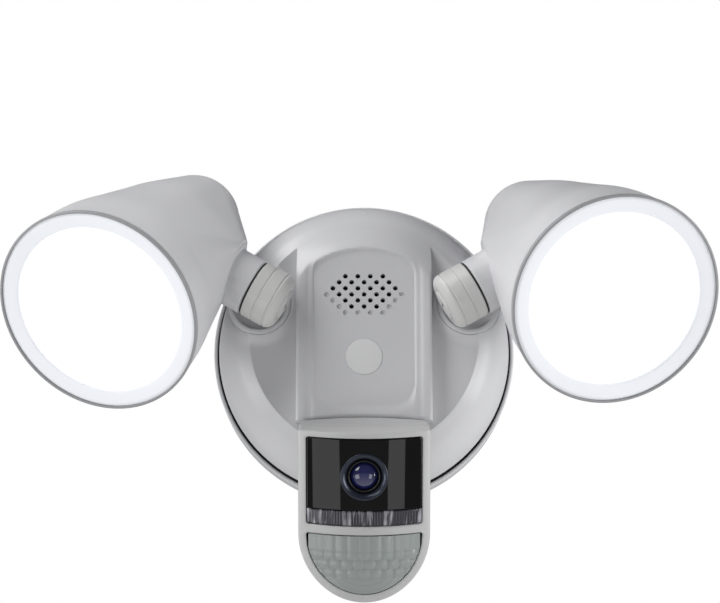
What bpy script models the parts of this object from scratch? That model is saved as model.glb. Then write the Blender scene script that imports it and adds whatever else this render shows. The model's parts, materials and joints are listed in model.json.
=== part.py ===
"""Floodlight security camera: a wall base with a speaker column, two aimable lamps and a tilting camera pod.

Frame: origin at the centre of the wall face, +X to the viewer's right, +Y into the wall, +Z up.
Helper functions take millimetres and degrees; the meshes are written in metres.
"""
import math

import bmesh
import bpy
from mathutils import Matrix, Vector

MM = 0.001
GAP = 0.3                      # clearance between neighbouring pieces

# --- driving dimensions, millimetres ---------------------------------------------------------------------
BASE_R = 66.6                  # wall plate radius: covers a 4 inch round junction box
PLATE_DEPTH = 15.5             # wall plate, from the wall to its front rim
PLATE_FLOOR = 2.9              # the plate's floor stands this far off the wall
COVER_R = 64.2                 # dome radius at its rear edge
COVER_REAR_Y = -16.4           # rear edge of the dome
FLAT_Y = -50.0                 # flat front of the dome, beside the column
FLAT_R = 49.5
COLUMN_Y = -60.0               # front of the column
COLUMN_HALF = 28.8             # half width of the column
COLUMN_BOTTOM = -36.4
FOREHEAD_R = 37.2              # where the dome meets the column's front
WALL = 2.4                     # moulded wall thickness

PANEL_HALF = 22.0              # speaker panel, half width
PANEL_SINK = 1.0
GRILLE_Z = 17.2
HOLE_R = 1.04
HOLE_PITCH = 5.32
ROW_PITCH = 2.64
OPEN_ROWS = (4, 5, 6, 5, 4, 3)  # drilled holes in each row, from the top
DIMPLE_ROWS = ((3, 7, 2), (4, 6, 2), (5, 5, 2), (6, 4, 4))  # row, places in the row, dimples at its ends
PLUG_Z = -9.8                  # plug over the central mounting screw
PLUG_R = 7.75

SUPPLY_Z = 30.0                # cable gland above the plate's centre
BRACKET_SCREW = (44.5, -5.75)  # junction box screws, 89 mm apart
SPEAKER_R = 14.5

COLLAR_AT = Vector((45.0, FLAT_Y, 14.6))        # right-hand side; the left one is mirrored
COLLAR_R = 13.7
LIP = 3.4                      # the collar's lip stands this far off the dome's flat
SWIVEL_IN = 4.0                # the swivel axis lies this much inboard of the collar's centre
STEM_R = 6.3
STEM_LOW = -15.5               # stem's end behind the dome's flat
BARREL_OFFSET = 18.5           # from the dome's flat to the barrel's centre
BARREL_RISE = 29.4             # the barrel points outwards and up, square to the swivel axis
BARREL_R = 12.4
BARREL_IN = 8.3                # inner end of the barrel, from its centre
BARREL_OUT = 6.0               # seam between the barrel and the lamp's neck
SEAM = 0.9

LAMP_FACES = {"left": Vector((-109.5, -89.6, 3.2)), "right": Vector((101.9, -102.7, 5.2))}
LAMP_AIMS = {"left": Vector((-0.321, -0.757, -0.568)), "right": Vector((0.242, -0.837, -0.491))}
LAMP_R = 44.2
LAMP_DEPTH = 95.0
LAMP_BODY = ((1.6, 44.0), (20.0, 41.4), (40.0, 35.2), (60.0, 29.4), (86.0, 19.5))  # depth behind the face, radius
LAMP_ROUND = 9.0               # rounding of the rear end
LAMP_LEAN = (12.4, 8.2)        # the rear end leans inboard and up, in all
NECK_FLARE = 17.0              # radius of the neck's flange, which blends into the housing
BLEND_DEPTH = 18.0             # the blend starts this far behind the face

POD_TILT = 20.0                # the pod looks down by this angle at rest
HINGE_Y = -60.0
HINGE_Z = -41.82
HINGE_R = 5.0                  # rounded top edge of the pod, about the hinge
LUG_R = 2.8                    # hidden lugs of the cover, inside the pod's rounded edge
LUG_X = (14.4, 20.0)
PIN_R = 1.5
POD_HALF = 27.2                # half width of the pod
POD_FRONT = 28.0               # hinge axis to the front, at the middle
POD_REAR = 6.0                 # hinge axis to the rear of the pod's body
POD_SPLIT = 11.0               # seam between the pod's rear shell and its bezel
POD_STRAIGHT = 44.0            # straight sides, above the half-round bottom
POD_CURVE_R = 50.0             # radius of the curved front, in plan
POD_BOARD = POD_FRONT - 16.4   # back of the boards behind the pod's front
BOARD = 1.4                    # board thickness
WINDOW_HALF = 23.6
WINDOW_TOP = 3.0               # from the pod's top down to the window
WINDOW_LOW = 32.5
STRIP_LOW = 39.0
LENS_DOWN = 18.5               # lens centre below the pod's top
LENS_R = 9.8
PIR_TOP = 43.3

MATERIALS = {                  # colour, roughness, metallic
    "housing": ((0.78, 0.78, 0.80), 0.42, 0.0),
    "rubber": ((0.05, 0.05, 0.05), 0.75, 0.0),
    "plug": ((0.74, 0.74, 0.75), 0.60, 0.0),
    "steel": ((0.62, 0.62, 0.64), 0.35, 1.0),
    "board": ((0.05, 0.22, 0.10), 0.55, 0.0),
    "black": ((0.02, 0.02, 0.02), 0.30, 0.0),
    "window": ((0.01, 0.01, 0.012), 0.05, 0.0),
    "strip": ((0.55, 0.54, 0.58), 0.15, 0.0),
    "fresnel": ((0.80, 0.84, 0.82), 0.35, 0.0),
    "glass": ((0.10, 0.10, 0.25), 0.03, 0.0),
    "diffuser": ((0.96, 0.97, 1.0), 0.30, 0.0),
    "aluminium": ((0.75, 0.76, 0.78), 0.40, 1.0),
    "nylon": ((0.85, 0.84, 0.80), 0.50, 0.0),
}


# --- scene and helpers -----------------------------------------------------------------------------------
for old in list(bpy.data.objects):
    bpy.data.objects.remove(old, do_unlink=True)

parts = bpy.data.collections.new("floodlight_camera")
cutters = bpy.data.collections.new("cutters")
for group in (parts, cutters):
    bpy.context.scene.collection.children.link(group)


def material(slot):
    """The Principled material of a slot, made on first use."""
    if slot in bpy.data.materials:
        return bpy.data.materials[slot]
    colour, roughness, metallic = MATERIALS[slot]
    made = bpy.data.materials.new(slot)
    made.use_nodes = True
    shader = made.node_tree.nodes["Principled BSDF"]
    shader.inputs["Base Color"].default_value = (*colour, 1.0)
    shader.inputs["Roughness"].default_value = roughness
    shader.inputs["Metallic"].default_value = metallic
    return made


def add(name, mesh, slot=None, frame=None, parent=None):
    """Link a mesh as a part, or as a cutter when it has no material slot."""
    obj = bpy.data.objects.new(name, mesh)
    if slot:
        mesh.materials.append(material(slot))
        parts.objects.link(obj)
    else:
        obj.hide_render = True
        obj.display_type = "WIRE"
        cutters.objects.link(obj)
    obj.parent = parent
    if frame:
        obj.matrix_local = frame
    mesh.shade_smooth()
    mesh.set_sharp_from_angle(angle=math.radians(35))
    return obj


def finish_mesh(name, bm):
    bmesh.ops.recalc_face_normals(bm, faces=bm.faces)
    bmesh.ops.scale(bm, vec=(MM, MM, MM), verts=bm.verts)
    mesh = bpy.data.meshes.new(name)
    bm.to_mesh(mesh)
    bm.free()
    return mesh


def axis_frame(at, direction, up=Vector((0, 0, 1))):
    """A frame at a point, with its +Z along a direction and its +Y as near as can be to up."""
    z = Vector(direction).normalized()
    x = Vector(up).cross(z).normalized()
    y = z.cross(x)
    turn = Matrix((x, y, z)).transposed().to_4x4()
    return Matrix.Translation(Vector(at) * MM) @ turn


def turned(name, profile, slot=None, frame=None, parent=None, steps=28, ring=False):
    """A turned shape from (radius, height) points that run down its outer side; ring closes the loop."""
    bm = bmesh.new()
    points = [bm.verts.new((r * MM, 0, h * MM)) for r, h in profile]
    for first, second in zip(points, points[1:]):
        bm.edges.new((first, second))
    if ring:
        bm.edges.new((points[-1], points[0]))
    mesh = bpy.data.meshes.new(name)
    bm.to_mesh(mesh)
    bm.free()
    obj = add(name, mesh, slot, frame, parent)
    spin = obj.modifiers.new("turn", "SCREW")
    spin.axis = "Z"
    spin.steps = steps
    spin.render_steps = steps
    spin.use_merge_vertices = True
    spin.merge_threshold = 0.00001
    spin.use_smooth_shade = True
    return obj


def tube(name, outer, inner, low, high, slot=None, frame=None, parent=None, steps=28):
    """A ring with a square section, from its lower to its upper height."""
    profile = [(outer, high), (outer, low), (inner, low), (inner, high)]
    return turned(name, profile, slot, frame, parent, steps, ring=True)


def rod(name, radius, low, high, slot=None, frame=None, parent=None, sides=20):
    """A solid cylinder along the frame's Z."""
    bm = bmesh.new()
    bmesh.ops.create_cone(bm, cap_ends=True, segments=sides, radius1=radius, radius2=radius, depth=high - low)
    bmesh.ops.translate(bm, vec=(0, 0, (low + high) / 2), verts=bm.verts)
    return add(name, finish_mesh(name, bm), slot, frame, parent)


def drills(name, places, radius, low, high, frame, sides=8):
    """A cutter of equal cylinders along the frame's Z."""
    bm = bmesh.new()
    for x, y in places:
        spot = Matrix.Translation((x, y, (low + high) / 2))
        bmesh.ops.create_cone(
            bm, cap_ends=True, segments=sides, radius1=radius, radius2=radius, depth=high - low, matrix=spot)
    return add(name, finish_mesh(name, bm), frame=frame)


def block(name, low, high, slot=None, frame=None, parent=None, bevel=0.0):
    """A box between two corners, with an optional rounded edge."""
    bm = bmesh.new()
    bmesh.ops.create_cube(bm, size=1.0)
    size = [h - l for l, h in zip(low, high)]
    bmesh.ops.scale(bm, vec=size, verts=bm.verts)
    bmesh.ops.translate(bm, vec=[(l + h) / 2 for l, h in zip(low, high)], verts=bm.verts)
    obj = add(name, finish_mesh(name, bm), slot, frame, parent)
    if bevel:
        round_edges(obj, bevel)
    return obj


def round_edges(obj, width, segments=2, angle=40):
    edge = obj.modifiers.new("round", "BEVEL")
    edge.width = width * MM
    edge.segments = segments
    edge.limit_method = "ANGLE"
    edge.angle_limit = math.radians(angle)


def plate(name, outline, low, high, slot=None, frame=None, parent=None):
    """A flat outline in the frame's XY plane, as thick as low to high along Z."""
    curve = bpy.data.curves.new(name, "CURVE")
    curve.dimensions = "2D"
    curve.fill_mode = "BOTH"
    curve.extrude = (high - low) / 2 * MM
    spline = curve.splines.new("POLY")
    spline.points.add(len(outline) - 1)
    for point, (x, y) in zip(spline.points, outline):
        point.co = (x * MM, y * MM, 0, 1)
    spline.use_cyclic_u = True
    guide = bpy.data.objects.new(name + "_curve", curve)
    cutters.objects.link(guide)
    ready = guide.evaluated_get(bpy.context.evaluated_depsgraph_get())
    mesh = bpy.data.meshes.new_from_object(ready)
    bpy.data.objects.remove(guide, do_unlink=True)
    bm = bmesh.new()
    bm.from_mesh(mesh)
    bmesh.ops.remove_doubles(bm, verts=bm.verts, dist=0.00001)
    bmesh.ops.translate(bm, vec=(0, 0, (low + high) / 2 * MM), verts=bm.verts)
    bmesh.ops.recalc_face_normals(bm, faces=bm.faces)
    bm.to_mesh(mesh)
    bm.free()
    return add(name, mesh, slot, frame, parent)


def loft(name, sections, slot=None, frame=None, parent=None, sides=32):
    """Circles (x, y, z, radius) joined in order; a zero radius closes an end to a point."""
    bm = bmesh.new()
    rings = []
    for x, y, z, radius in sections:
        if radius == 0:
            rings.append([bm.verts.new((x, y, z))])
            continue
        turn = [2 * math.pi * k / sides for k in range(sides)]
        rings.append([bm.verts.new((x + radius * math.cos(a), y + radius * math.sin(a), z)) for a in turn])
    for first, second in zip(rings, rings[1:]):
        for k in range(sides):
            n = (k + 1) % sides
            corners = [first[k % len(first)], first[n % len(first)], second[n % len(second)],
                       second[k % len(second)]]
            bm.faces.new(list(dict.fromkeys(corners)))
    return add(name, finish_mesh(name, bm), slot, frame, parent)


def boolean(obj, operation, *others):
    for other in others:
        step = obj.modifiers.new(other.name, "BOOLEAN")
        step.operation = operation
        step.object = other
        step.solver = "EXACT"


def cut(obj, *others):
    boolean(obj, "DIFFERENCE", *others)


def join(obj, *others):
    boolean(obj, "UNION", *others)


def keep_inside(obj, *others):
    boolean(obj, "INTERSECT", *others)


def arc(centre, radius, start, end, count):
    """Points of an arc in degrees, both ends included."""
    steps = [math.radians(start + (end - start) * k / (count - 1)) for k in range(count)]
    return [(centre[0] + radius * math.cos(a), centre[1] + radius * math.sin(a)) for a in steps]


def rounded_box(half_x, low, high, radius, count=5):
    """Outline of a rectangle with round corners, anticlockwise."""
    corners = ((half_x - radius, high - radius, 0), (radius - half_x, high - radius, 90),
               (radius - half_x, low + radius, 180), (half_x - radius, low + radius, 270))
    return [p for x, y, start in corners for p in arc((x, y), radius, start, start + 90, count)]


def empty(name, frame, parent=None):
    guide = bpy.data.objects.new(name, None)
    cutters.objects.link(guide)
    guide.parent = parent
    guide.matrix_local = frame
    return guide


# frames that look out of the wall: +X right, +Y up, +Z towards the viewer
FRONT = Matrix.Rotation(math.radians(90), 4, "X")
ACROSS = Matrix.Rotation(math.radians(90), 4, "Y")       # +Z along the X axis
HINGE_ACROSS = Matrix.Translation(Vector((0, HINGE_Y, HINGE_Z)) * MM) @ ACROSS


def front_at(x, y, z):
    return Matrix.Translation(Vector((x, y, z)) * MM) @ FRONT


# --- wall base -------------------------------------------------------------------------------------------
def dome_profile(inset=0.0, tall=False):
    """(radius, height off the wall) down the dome's outer side, from the front axis to the rear edge."""
    front = -FLAT_Y
    outer = [(50.6, 48.6), (55.5, 43.6), (59.6, 37.0), (62.2, 30.0), (63.6, 23.0), (COVER_R, -COVER_REAR_Y)]
    if tall:
        crown = [(0, -COLUMN_Y), (FOREHEAD_R, -COLUMN_Y), (42.0, 57.0), (46.5, 53.0)]
    else:
        crown = [(0, front), (FLAT_R, front)]
    return [(max(r - inset, 0), h - inset if h > 20 else h) for r, h in crown + outer]


def solid_dome(name, inset, tall, rear):
    profile = dome_profile(inset, tall)
    profile[-1] = (profile[-1][0], rear)
    return turned(name, profile + [(0, rear)], frame=FRONT, steps=48)


def grille_places(row, count):
    """Places of one row of the diamond grille, about the panel's middle."""
    z = GRILLE_Z + (3 - row) * ROW_PITCH
    return [((k - (count - 1) / 2) * HOLE_PITCH, z) for k in range(count)]


def build_front_cover():
    rear = -COVER_REAR_Y
    cover = turned("front_cover", dome_profile() + [(0, rear)], "housing", FRONT, steps=48)
    forehead = solid_dome("forehead", 0, True, rear + 1)
    slab = block("column_slab", (-COLUMN_HALF, -70, 0), (COLUMN_HALF, -rear - 4, 75))
    keep_inside(forehead, slab)
    lower = block("column_lower", (-COLUMN_HALF, COLUMN_Y, COLUMN_BOTTOM), (COLUMN_HALF, -rear - 4, 0.5))
    join(cover, forehead, lower)

    inside = solid_dome("dome_inside", WALL, False, rear - 1)
    forehead_inside = solid_dome("forehead_inside", WALL, True, rear - 1)
    inner_half = COLUMN_HALF - WALL
    keep_inside(forehead_inside, block("slab_inside", (-inner_half, -70, 0), (inner_half, -rear - 5, 75)))
    lower_inside = block("lower_inside", (-inner_half, COLUMN_Y + WALL + PANEL_SINK, COLUMN_BOTTOM + WALL),
                         (inner_half, -rear - 5, 0.5))
    cut(cover, inside, forehead_inside, lower_inside)

    boss = rod("screw_post", 6.0, rear - 2, -COLUMN_Y - 2, frame=front_at(0, 0, PLUG_Z))
    join(cover, boss)
    well = rod("plug_well", PLUG_R + GAP, -COLUMN_Y - 9.7, -COLUMN_Y + 1, frame=front_at(0, 0, PLUG_Z), sides=28)
    bore = rod("screw_bore", 3.0, rear - 3, -COLUMN_Y + 2, frame=front_at(0, 0, PLUG_Z))
    seat = rod("well_wall", PLUG_R + 2.2, -COLUMN_Y - 12, -COLUMN_Y - 1, frame=front_at(0, 0, PLUG_Z), sides=20)
    join(cover, seat)

    side_top = math.sqrt(FOREHEAD_R ** 2 - PANEL_HALF ** 2)
    outline = arc((0, 0), FOREHEAD_R, 58, 122, 13)
    outline += [(-PANEL_HALF, side_top - 6)]
    outline += arc((9 - PANEL_HALF, COLUMN_BOTTOM + 11), 9, 180, 270, 4)
    outline += arc((PANEL_HALF - 9, COLUMN_BOTTOM + 11), 9, 270, 360, 4)
    outline += [(PANEL_HALF, side_top - 6)]
    pocket = plate("panel_pocket", outline, -COLUMN_Y - PANEL_SINK, -COLUMN_Y + 2, frame=FRONT)
    cut(cover, pocket, well, bore)

    holes = [p for row, count in enumerate(OPEN_ROWS) for p in grille_places(row, count)]
    dimples = []
    for row, count, ends in DIMPLE_ROWS:
        row_places = grille_places(row, count)
        dimples += row_places if ends == 4 else [row_places[0], row_places[-1]]
    panel = -COLUMN_Y - PANEL_SINK
    for name, places, low in (("grille_holes", holes, panel - 5), ("grille_dimples", dimples, panel - 0.7)):
        cut(cover, drills(name, places, HOLE_R, low, panel + 2, FRONT))

    for side in (-1, 1):
        hole = rod(f"collar_hole_{side}", COLLAR_R + GAP, -18, 12, frame=collar_frame(side), sides=28)
        low_x, high_x = sorted(side * x for x in LUG_X)
        lug = rod(f"hinge_lug_{side}", LUG_R, low_x, high_x, frame=HINGE_ACROSS)
        web = block(f"hinge_web_{side}", (low_x, HINGE_Y, HINGE_Z - 1.5), (high_x, FLAT_Y + 1.0, HINGE_Z + 1.5))
        cut(cover, hole)
        join(cover, lug, web)
    cut(cover, rod("pin_hole", PIN_R + GAP, -30, 30, sides=16, frame=HINGE_ACROSS))
    return cover


def collar_frame(side, inboard=0.0):
    """Frame on the dome's flat at the right (+1) or left (-1) collar, +Z towards the viewer."""
    at = COLLAR_AT - Vector((inboard, 0, 0))
    return axis_frame(at * Vector((side, 1, 1)), (0, -1, 0))


def build_wall_base():
    bracket = block("wall_bracket", (-54, -2.5, -20), (54, 0, 8), "steel")
    hub_frame = front_at(0, 0, PLUG_Z)
    join(bracket, rod("hub", 5.0, 2, 9.0, frame=hub_frame))
    cut(bracket, rod("hub_thread", 2.3, 3.5, 12, frame=hub_frame, sides=16))
    screw_x, screw_z = BRACKET_SCREW
    for side, name in ((-1, "left"), (1, "right")):
        x = side * screw_x
        cut(bracket, block(f"bracket_slot_{side}", (x - 4, -4, screw_z - 1.75), (x + 4, 1, screw_z + 1.75)))
        screw = rod(f"bracket_screw_{name}", 3.6, 2.5 + GAP, 5.0, "steel", front_at(x, 0, screw_z))
        join(screw, rod(f"screw_shank_{name}", 1.5, 0.2, 3.5, frame=front_at(x, 0, screw_z), sides=12))
    tube("wall_gasket", 63.0, 59.5, 0.0, 2.6, "rubber", FRONT, steps=36)

    profile = [(BASE_R, PLATE_DEPTH - 0.6), (BASE_R, 1.0), (BASE_R - 0.8, 0.0), (63.4, 0.0),
               (63.4, PLATE_FLOOR), (5.4, PLATE_FLOOR), (5.4, PLATE_FLOOR + WALL), (59.0, PLATE_FLOOR + WALL),
               (59.0, 11.3), (63.6, 11.3), (63.6, PLATE_DEPTH), (BASE_R - 0.7, PLATE_DEPTH)]
    wall_plate = turned("wall_plate", profile, "housing", FRONT, steps=48, ring=True)
    cut(wall_plate, rod("hub_hole", 5.4, 0, 14, frame=hub_frame),
        rod("supply_hole", 9.0, 0, 14, frame=front_at(0, 0, SUPPLY_Z)))
    cut(wall_plate, drills("screw_holes", [(-screw_x, screw_z), (screw_x, screw_z)], 4.4, 0, 10, FRONT, sides=16))
    tube("cable_gland", 8.7, 3.0, PLATE_FLOOR + GAP, 12.0, "rubber", front_at(0, 0, SUPPLY_Z), steps=32)
    tube("cover_seal", 62.9, 60.4, 11.6, 16.1, "rubber", FRONT, steps=48)


def build_inside_base():
    """Boards, speaker, screws and the plug behind and in the cover."""
    block("power_board", (-34, -30.0, -34), (-9, -28.4, 26), "board")
    block("power_module", (-30, -46.0, 4), (-12, -30.0 - GAP, 24), "black", bevel=1.0)
    block("power_capacitors", (-30, -42.0, -30), (-14, -30.0 - GAP, -8), "aluminium", bevel=1.0)
    block("main_board", (9, -30.0, -34), (34, -28.4, 26), "board")
    block("terminal_block", (-12, -27.0, 34), (12, -18.0, 44), "nylon", bevel=0.6)
    block("wifi_antenna", (12, -34.0, 30), (26, -33.2, 38), "steel")
    panel_back = -COLUMN_Y - WALL - PANEL_SINK
    driver = [(0, panel_back - 3.5), (SPEAKER_R, panel_back - 3.5), (SPEAKER_R, panel_back - 6), (9, 44), (9, 37),
              (0, 37)]
    turned("speaker", driver, "black", front_at(0, 0, GRILLE_Z), steps=24)
    tube("speaker_seal", SPEAKER_R - 0.2, SPEAKER_R - 1.9, panel_back - 3.5 + GAP, panel_back - GAP, "rubber",
         front_at(0, 0, GRILLE_Z), steps=24)
    shank = [(0, 53.0), (4.6, 53.0), (4.6, 50.6), (2.5, 50.6), (2.5, 20.0), (2.0, 19.0), (2.0, 4.5), (0, 4.5)]
    screw = turned("mounting_screw", shank, "steel", front_at(0, 0, PLUG_Z), steps=24)
    cut(screw, block("screw_drive", (-4, -54, -0.6), (4, -51.6, 0.6), frame=Matrix.Translation(
        Vector((0, 0, PLUG_Z)) * MM)))
    front = -COLUMN_Y - PANEL_SINK
    plug = [(0, front), (PLUG_R - 0.4, front), (PLUG_R, front - 0.4), (PLUG_R, front - 4.6), (0, front - 4.6)]
    turned("screw_plug", plug, "plug", front_at(0, 0, PLUG_Z), steps=28)


# --- arms and lamps --------------------------------------------------------------------------------------
def build_arm(side, name):
    """Collar on the base and the swivelling elbow; returns the lamp's empty on the barrel's axis and its frame."""
    eccentric = rod(f"stem_hole_{name}", STEM_R + GAP, -20, 10, frame=collar_frame(side, SWIVEL_IN), sides=28)
    cup = [(COLLAR_R - 0.7, LIP), (COLLAR_R, LIP - 0.7), (COLLAR_R, -14.0), (0, -14.0), (0, -1.0), (11.2, -1.0),
           (12.4, 0.2), (12.4, LIP - 0.2), (12.6, LIP)]
    collar = turned(f"collar_{name}", cup, "housing", collar_frame(side), steps=28, ring=True)
    cut(collar, eccentric)

    swivel_frame = collar_frame(side, SWIVEL_IN)
    swivel = empty(f"arm_{name}", swivel_frame)
    rise = math.radians(BARREL_RISE)
    barrel_axis = Vector((side * math.cos(rise), 0, math.sin(rise)))
    centre = (COLLAR_AT - Vector((SWIVEL_IN, BARREL_OFFSET, 0))) * Vector((side, 1, 1))
    barrel_world = axis_frame(centre, barrel_axis)
    barrel_frame = swivel_frame.inverted() @ barrel_world
    knuckle = [(0, BARREL_OUT), (BARREL_R, BARREL_OUT), (BARREL_R, 3.0 - BARREL_IN), (BARREL_R - 0.9, 1.0 - BARREL_IN),
               (BARREL_R - 2.8, -BARREL_IN), (0, -BARREL_IN)]
    body = turned(f"knuckle_{name}", knuckle, "housing", barrel_frame, swivel, steps=28)
    stem = [(0, BARREL_OFFSET - 4), (STEM_R - 0.7, BARREL_OFFSET - 4), (STEM_R - 0.7, 5.0), (STEM_R, 4.0),
            (STEM_R, STEM_LOW), (0, STEM_LOW)]
    join(body, turned(f"knuckle_stem_{name}", stem, parent=swivel, steps=28))
    cut(body, rod(f"knuckle_bore_{name}", 5.0, 4.5 - BARREL_IN, 20, frame=barrel_frame, parent=swivel))
    cut(body, rod(f"stem_bore_{name}", 3.4, -18, BARREL_OFFSET - 3, parent=swivel))
    tube(f"swivel_clip_{name}", STEM_R + 2.4, 3.7, STEM_LOW - 1.9, STEM_LOW - GAP, "steel", parent=swivel, steps=24)
    cap_r = 7.0
    cut(body, rod(f"cap_seat_{name}", cap_r, -14, 2.6 - BARREL_IN, frame=barrel_frame, parent=swivel))
    cap_profile = [(0, 2.3 - BARREL_IN), (cap_r - GAP, 2.3 - BARREL_IN), (cap_r - GAP, 0.2 - BARREL_IN),
                   (cap_r - 1.3, -0.6 - BARREL_IN), (0, -0.9 - BARREL_IN)]
    cap = turned(f"knuckle_cap_{name}", cap_profile, "housing", barrel_frame, swivel, steps=32)
    cut(cap, block(f"cap_slot_{name}", (-3.6, -0.7, -14), (3.6, 0.7, 0.6 - BARREL_IN), frame=barrel_frame,
                   parent=swivel))
    return empty(f"lamp_{name}", barrel_frame, swivel), barrel_world


def lamp_sections():
    """(distance behind the face, radius) along the housing, from the face to the rounded rear."""
    rear_depth, rear_r = LAMP_BODY[-1]
    turns = [math.radians(angle) for angle in (30, 60, 90)]
    return list(LAMP_BODY) + [(rear_depth + LAMP_ROUND * math.sin(a), rear_r - LAMP_ROUND * (1 - math.cos(a)))
                              for a in turns]


def flange_blend(name, rings, tilt, frame):
    """The hull of the housing's rear circles, given in the lamp's frame, and the neck's flange."""
    bm = bmesh.new()
    turn = [2 * math.pi * k / 28 for k in range(28)]
    for x, y, z, radius in rings:
        for a in turn:
            spot = Vector((x + radius * math.cos(a), y + radius * math.sin(a), z)) * MM
            bm.verts.new((frame @ spot) / MM)
    for radius, height in ((NECK_FLARE, 23.0), (NECK_FLARE, 19.9), (NECK_FLARE - 0.8, 18.8)):
        for a in turn:
            bm.verts.new((radius * math.cos(a), radius * math.sin(a), height))
    hull = bmesh.ops.convex_hull(bm, input=bm.verts)
    bmesh.ops.delete(bm, geom=hull["geom_interior"], context="VERTS")
    return add(name, finish_mesh(name, bm), parent=tilt)


def build_lamp(side, name, tilt, barrel_world):
    """Every piece of one lamp, on the empty at the barrel's axis."""
    frame = barrel_world.inverted() @ axis_frame(LAMP_FACES[name], LAMP_AIMS[name])

    def centre(depth):
        inboard, up = (lean * (max(depth, 0) / LAMP_DEPTH) ** 1.3 for lean in LAMP_LEAN)
        return -side * inboard, up, -depth

    sections = lamp_sections()
    outer = [(*centre(depth), radius) for depth, radius in sections]
    inner = [(*centre(depth), radius - WALL) for depth, radius in sections[:5]]
    inner += [(*centre(LAMP_DEPTH - WALL), sections[5][1] - WALL), (*centre(LAMP_DEPTH - WALL), 0)]
    mouth = [(*centre(-2.0), 0), (*centre(-2.0), LAMP_R - WALL)]
    rear_point, front_point = (*centre(LAMP_DEPTH), 0), (*centre(sections[0][0]), 0)
    housing = loft(f"lamp_housing_{name}", [rear_point] + outer[::-1] + [front_point], "housing", frame, tilt)
    seam_end = BARREL_OUT + SEAM
    blend_rings = [(*centre(depth), radius - 0.25) for depth, radius in sections if depth > BLEND_DEPTH]
    join(housing, flange_blend(f"neck_blend_{name}", blend_rings, tilt, frame))
    neck = [(0, 30), (NECK_FLARE - 2.0, 30), (NECK_FLARE - 2.0, 18.2), (BARREL_R, 17.0), (BARREL_R, seam_end),
            (0, seam_end)]
    join(housing, turned(f"neck_{name}", neck, parent=tilt, steps=32))
    cut(housing, loft(f"lamp_hollow_{name}", mouth + inner, frame=frame, parent=tilt))
    cut(housing, rod(f"neck_bore_{name}", 3.4, -6, 50, parent=tilt))
    tube(f"knuckle_seal_{name}", BARREL_R - 0.5, 6.6, BARREL_OUT + 0.2, seam_end - 0.2, "rubber", parent=tilt,
         steps=24)

    rim = [(LAMP_R - 0.2, 0.6), (LAMP_R, 0.2), (LAMP_R, -1.6 + GAP), (LAMP_R - 2.2, -1.6 + GAP),
           (LAMP_R - 2.2, 0.0), (LAMP_R - 1.2, 0.6)]
    turned(f"lamp_bezel_{name}", rim, "housing", frame, tilt, steps=36, ring=True)
    lens_r = LAMP_R - 2.2 - GAP
    lens = [(0, -1.6), (36.0, -1.6), (37.2, -0.9), (lens_r - 1.2, -0.1), (lens_r, -0.5), (lens_r, -1.1),
            (40.4, -1.4), (40.4, -3.6), (0, -3.6)]
    turned(f"lamp_lens_{name}", lens, "diffuser", frame, tilt, steps=36)
    tube(f"lamp_gasket_{name}", 39.6, 37.6, -5.6, -3.6 - GAP, "rubber", frame, tilt, steps=28)
    tube(f"led_board_{name}", 35.0, 6.0, -8.6, -7.0, "board", frame, tilt, steps=24)
    sink_back = -12.0
    sink = turned(f"heat_sink_{name}", [(0, -8.9), (36.5, -8.9), (36.5, sink_back), (0, sink_back)], "aluminium",
                  frame, tilt, steps=24)
    for k in range(5):
        x = (k - 2) * 9.0
        join(sink, block(f"fin_{name}_{k}", (x - 1.0, -16, sink_back - 18), (x + 1.0, 16, sink_back + 0.5),
                         frame=frame, parent=tilt))


# --- camera pod ------------------------------------------------------------------------------------------
# Pod frame: origin on the hinge axis, +X right, +Y up along the pod, +Z out of its front.
POD_TOP = HINGE_R
POD_ROUND_Y = POD_TOP - POD_STRAIGHT            # centre of the half-round bottom
CURVE_CENTRE = POD_FRONT - POD_CURVE_R


def pod_outline(inset):
    """The pod seen from its front: straight sides over a half-round bottom."""
    half = POD_HALF - inset
    return [(half, POD_TOP - inset), (-half, POD_TOP - inset)] + arc((0, POD_ROUND_Y), half, 180, 360, 21)


def curved_front(name, radius, parent, low=-75.0, high=20.0):
    """A cylinder about the pod's upright axis whose surface is the curved front, moved in or out."""
    sides = 54
    half_step = Matrix.Rotation(math.pi / sides, 4, "Z")
    frame = Matrix.Translation(Vector((0, 0, CURVE_CENTRE)) * MM) @ Matrix.Rotation(math.radians(-90), 4, "X")
    return rod(name, radius, low, high, frame=frame @ half_step, parent=parent, sides=sides)


def curved_piece(name, outline, outer, inner, slot, parent, back=POD_REAR):
    """A piece of the curved front between two radii, with the given outline."""
    piece = plate(name, outline, back, POD_FRONT + 5, slot, parent=parent)
    keep_inside(piece, curved_front(name + "_outer", outer, parent))
    if inner:
        cut(piece, curved_front(name + "_inner", inner, parent))
    return piece


def pir_outline(inset):
    half = WINDOW_HALF - inset
    top = POD_TOP - PIR_TOP - inset
    return [(half, top), (-half, top)] + arc((0, POD_ROUND_Y), half, 180, 360, 19)


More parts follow.
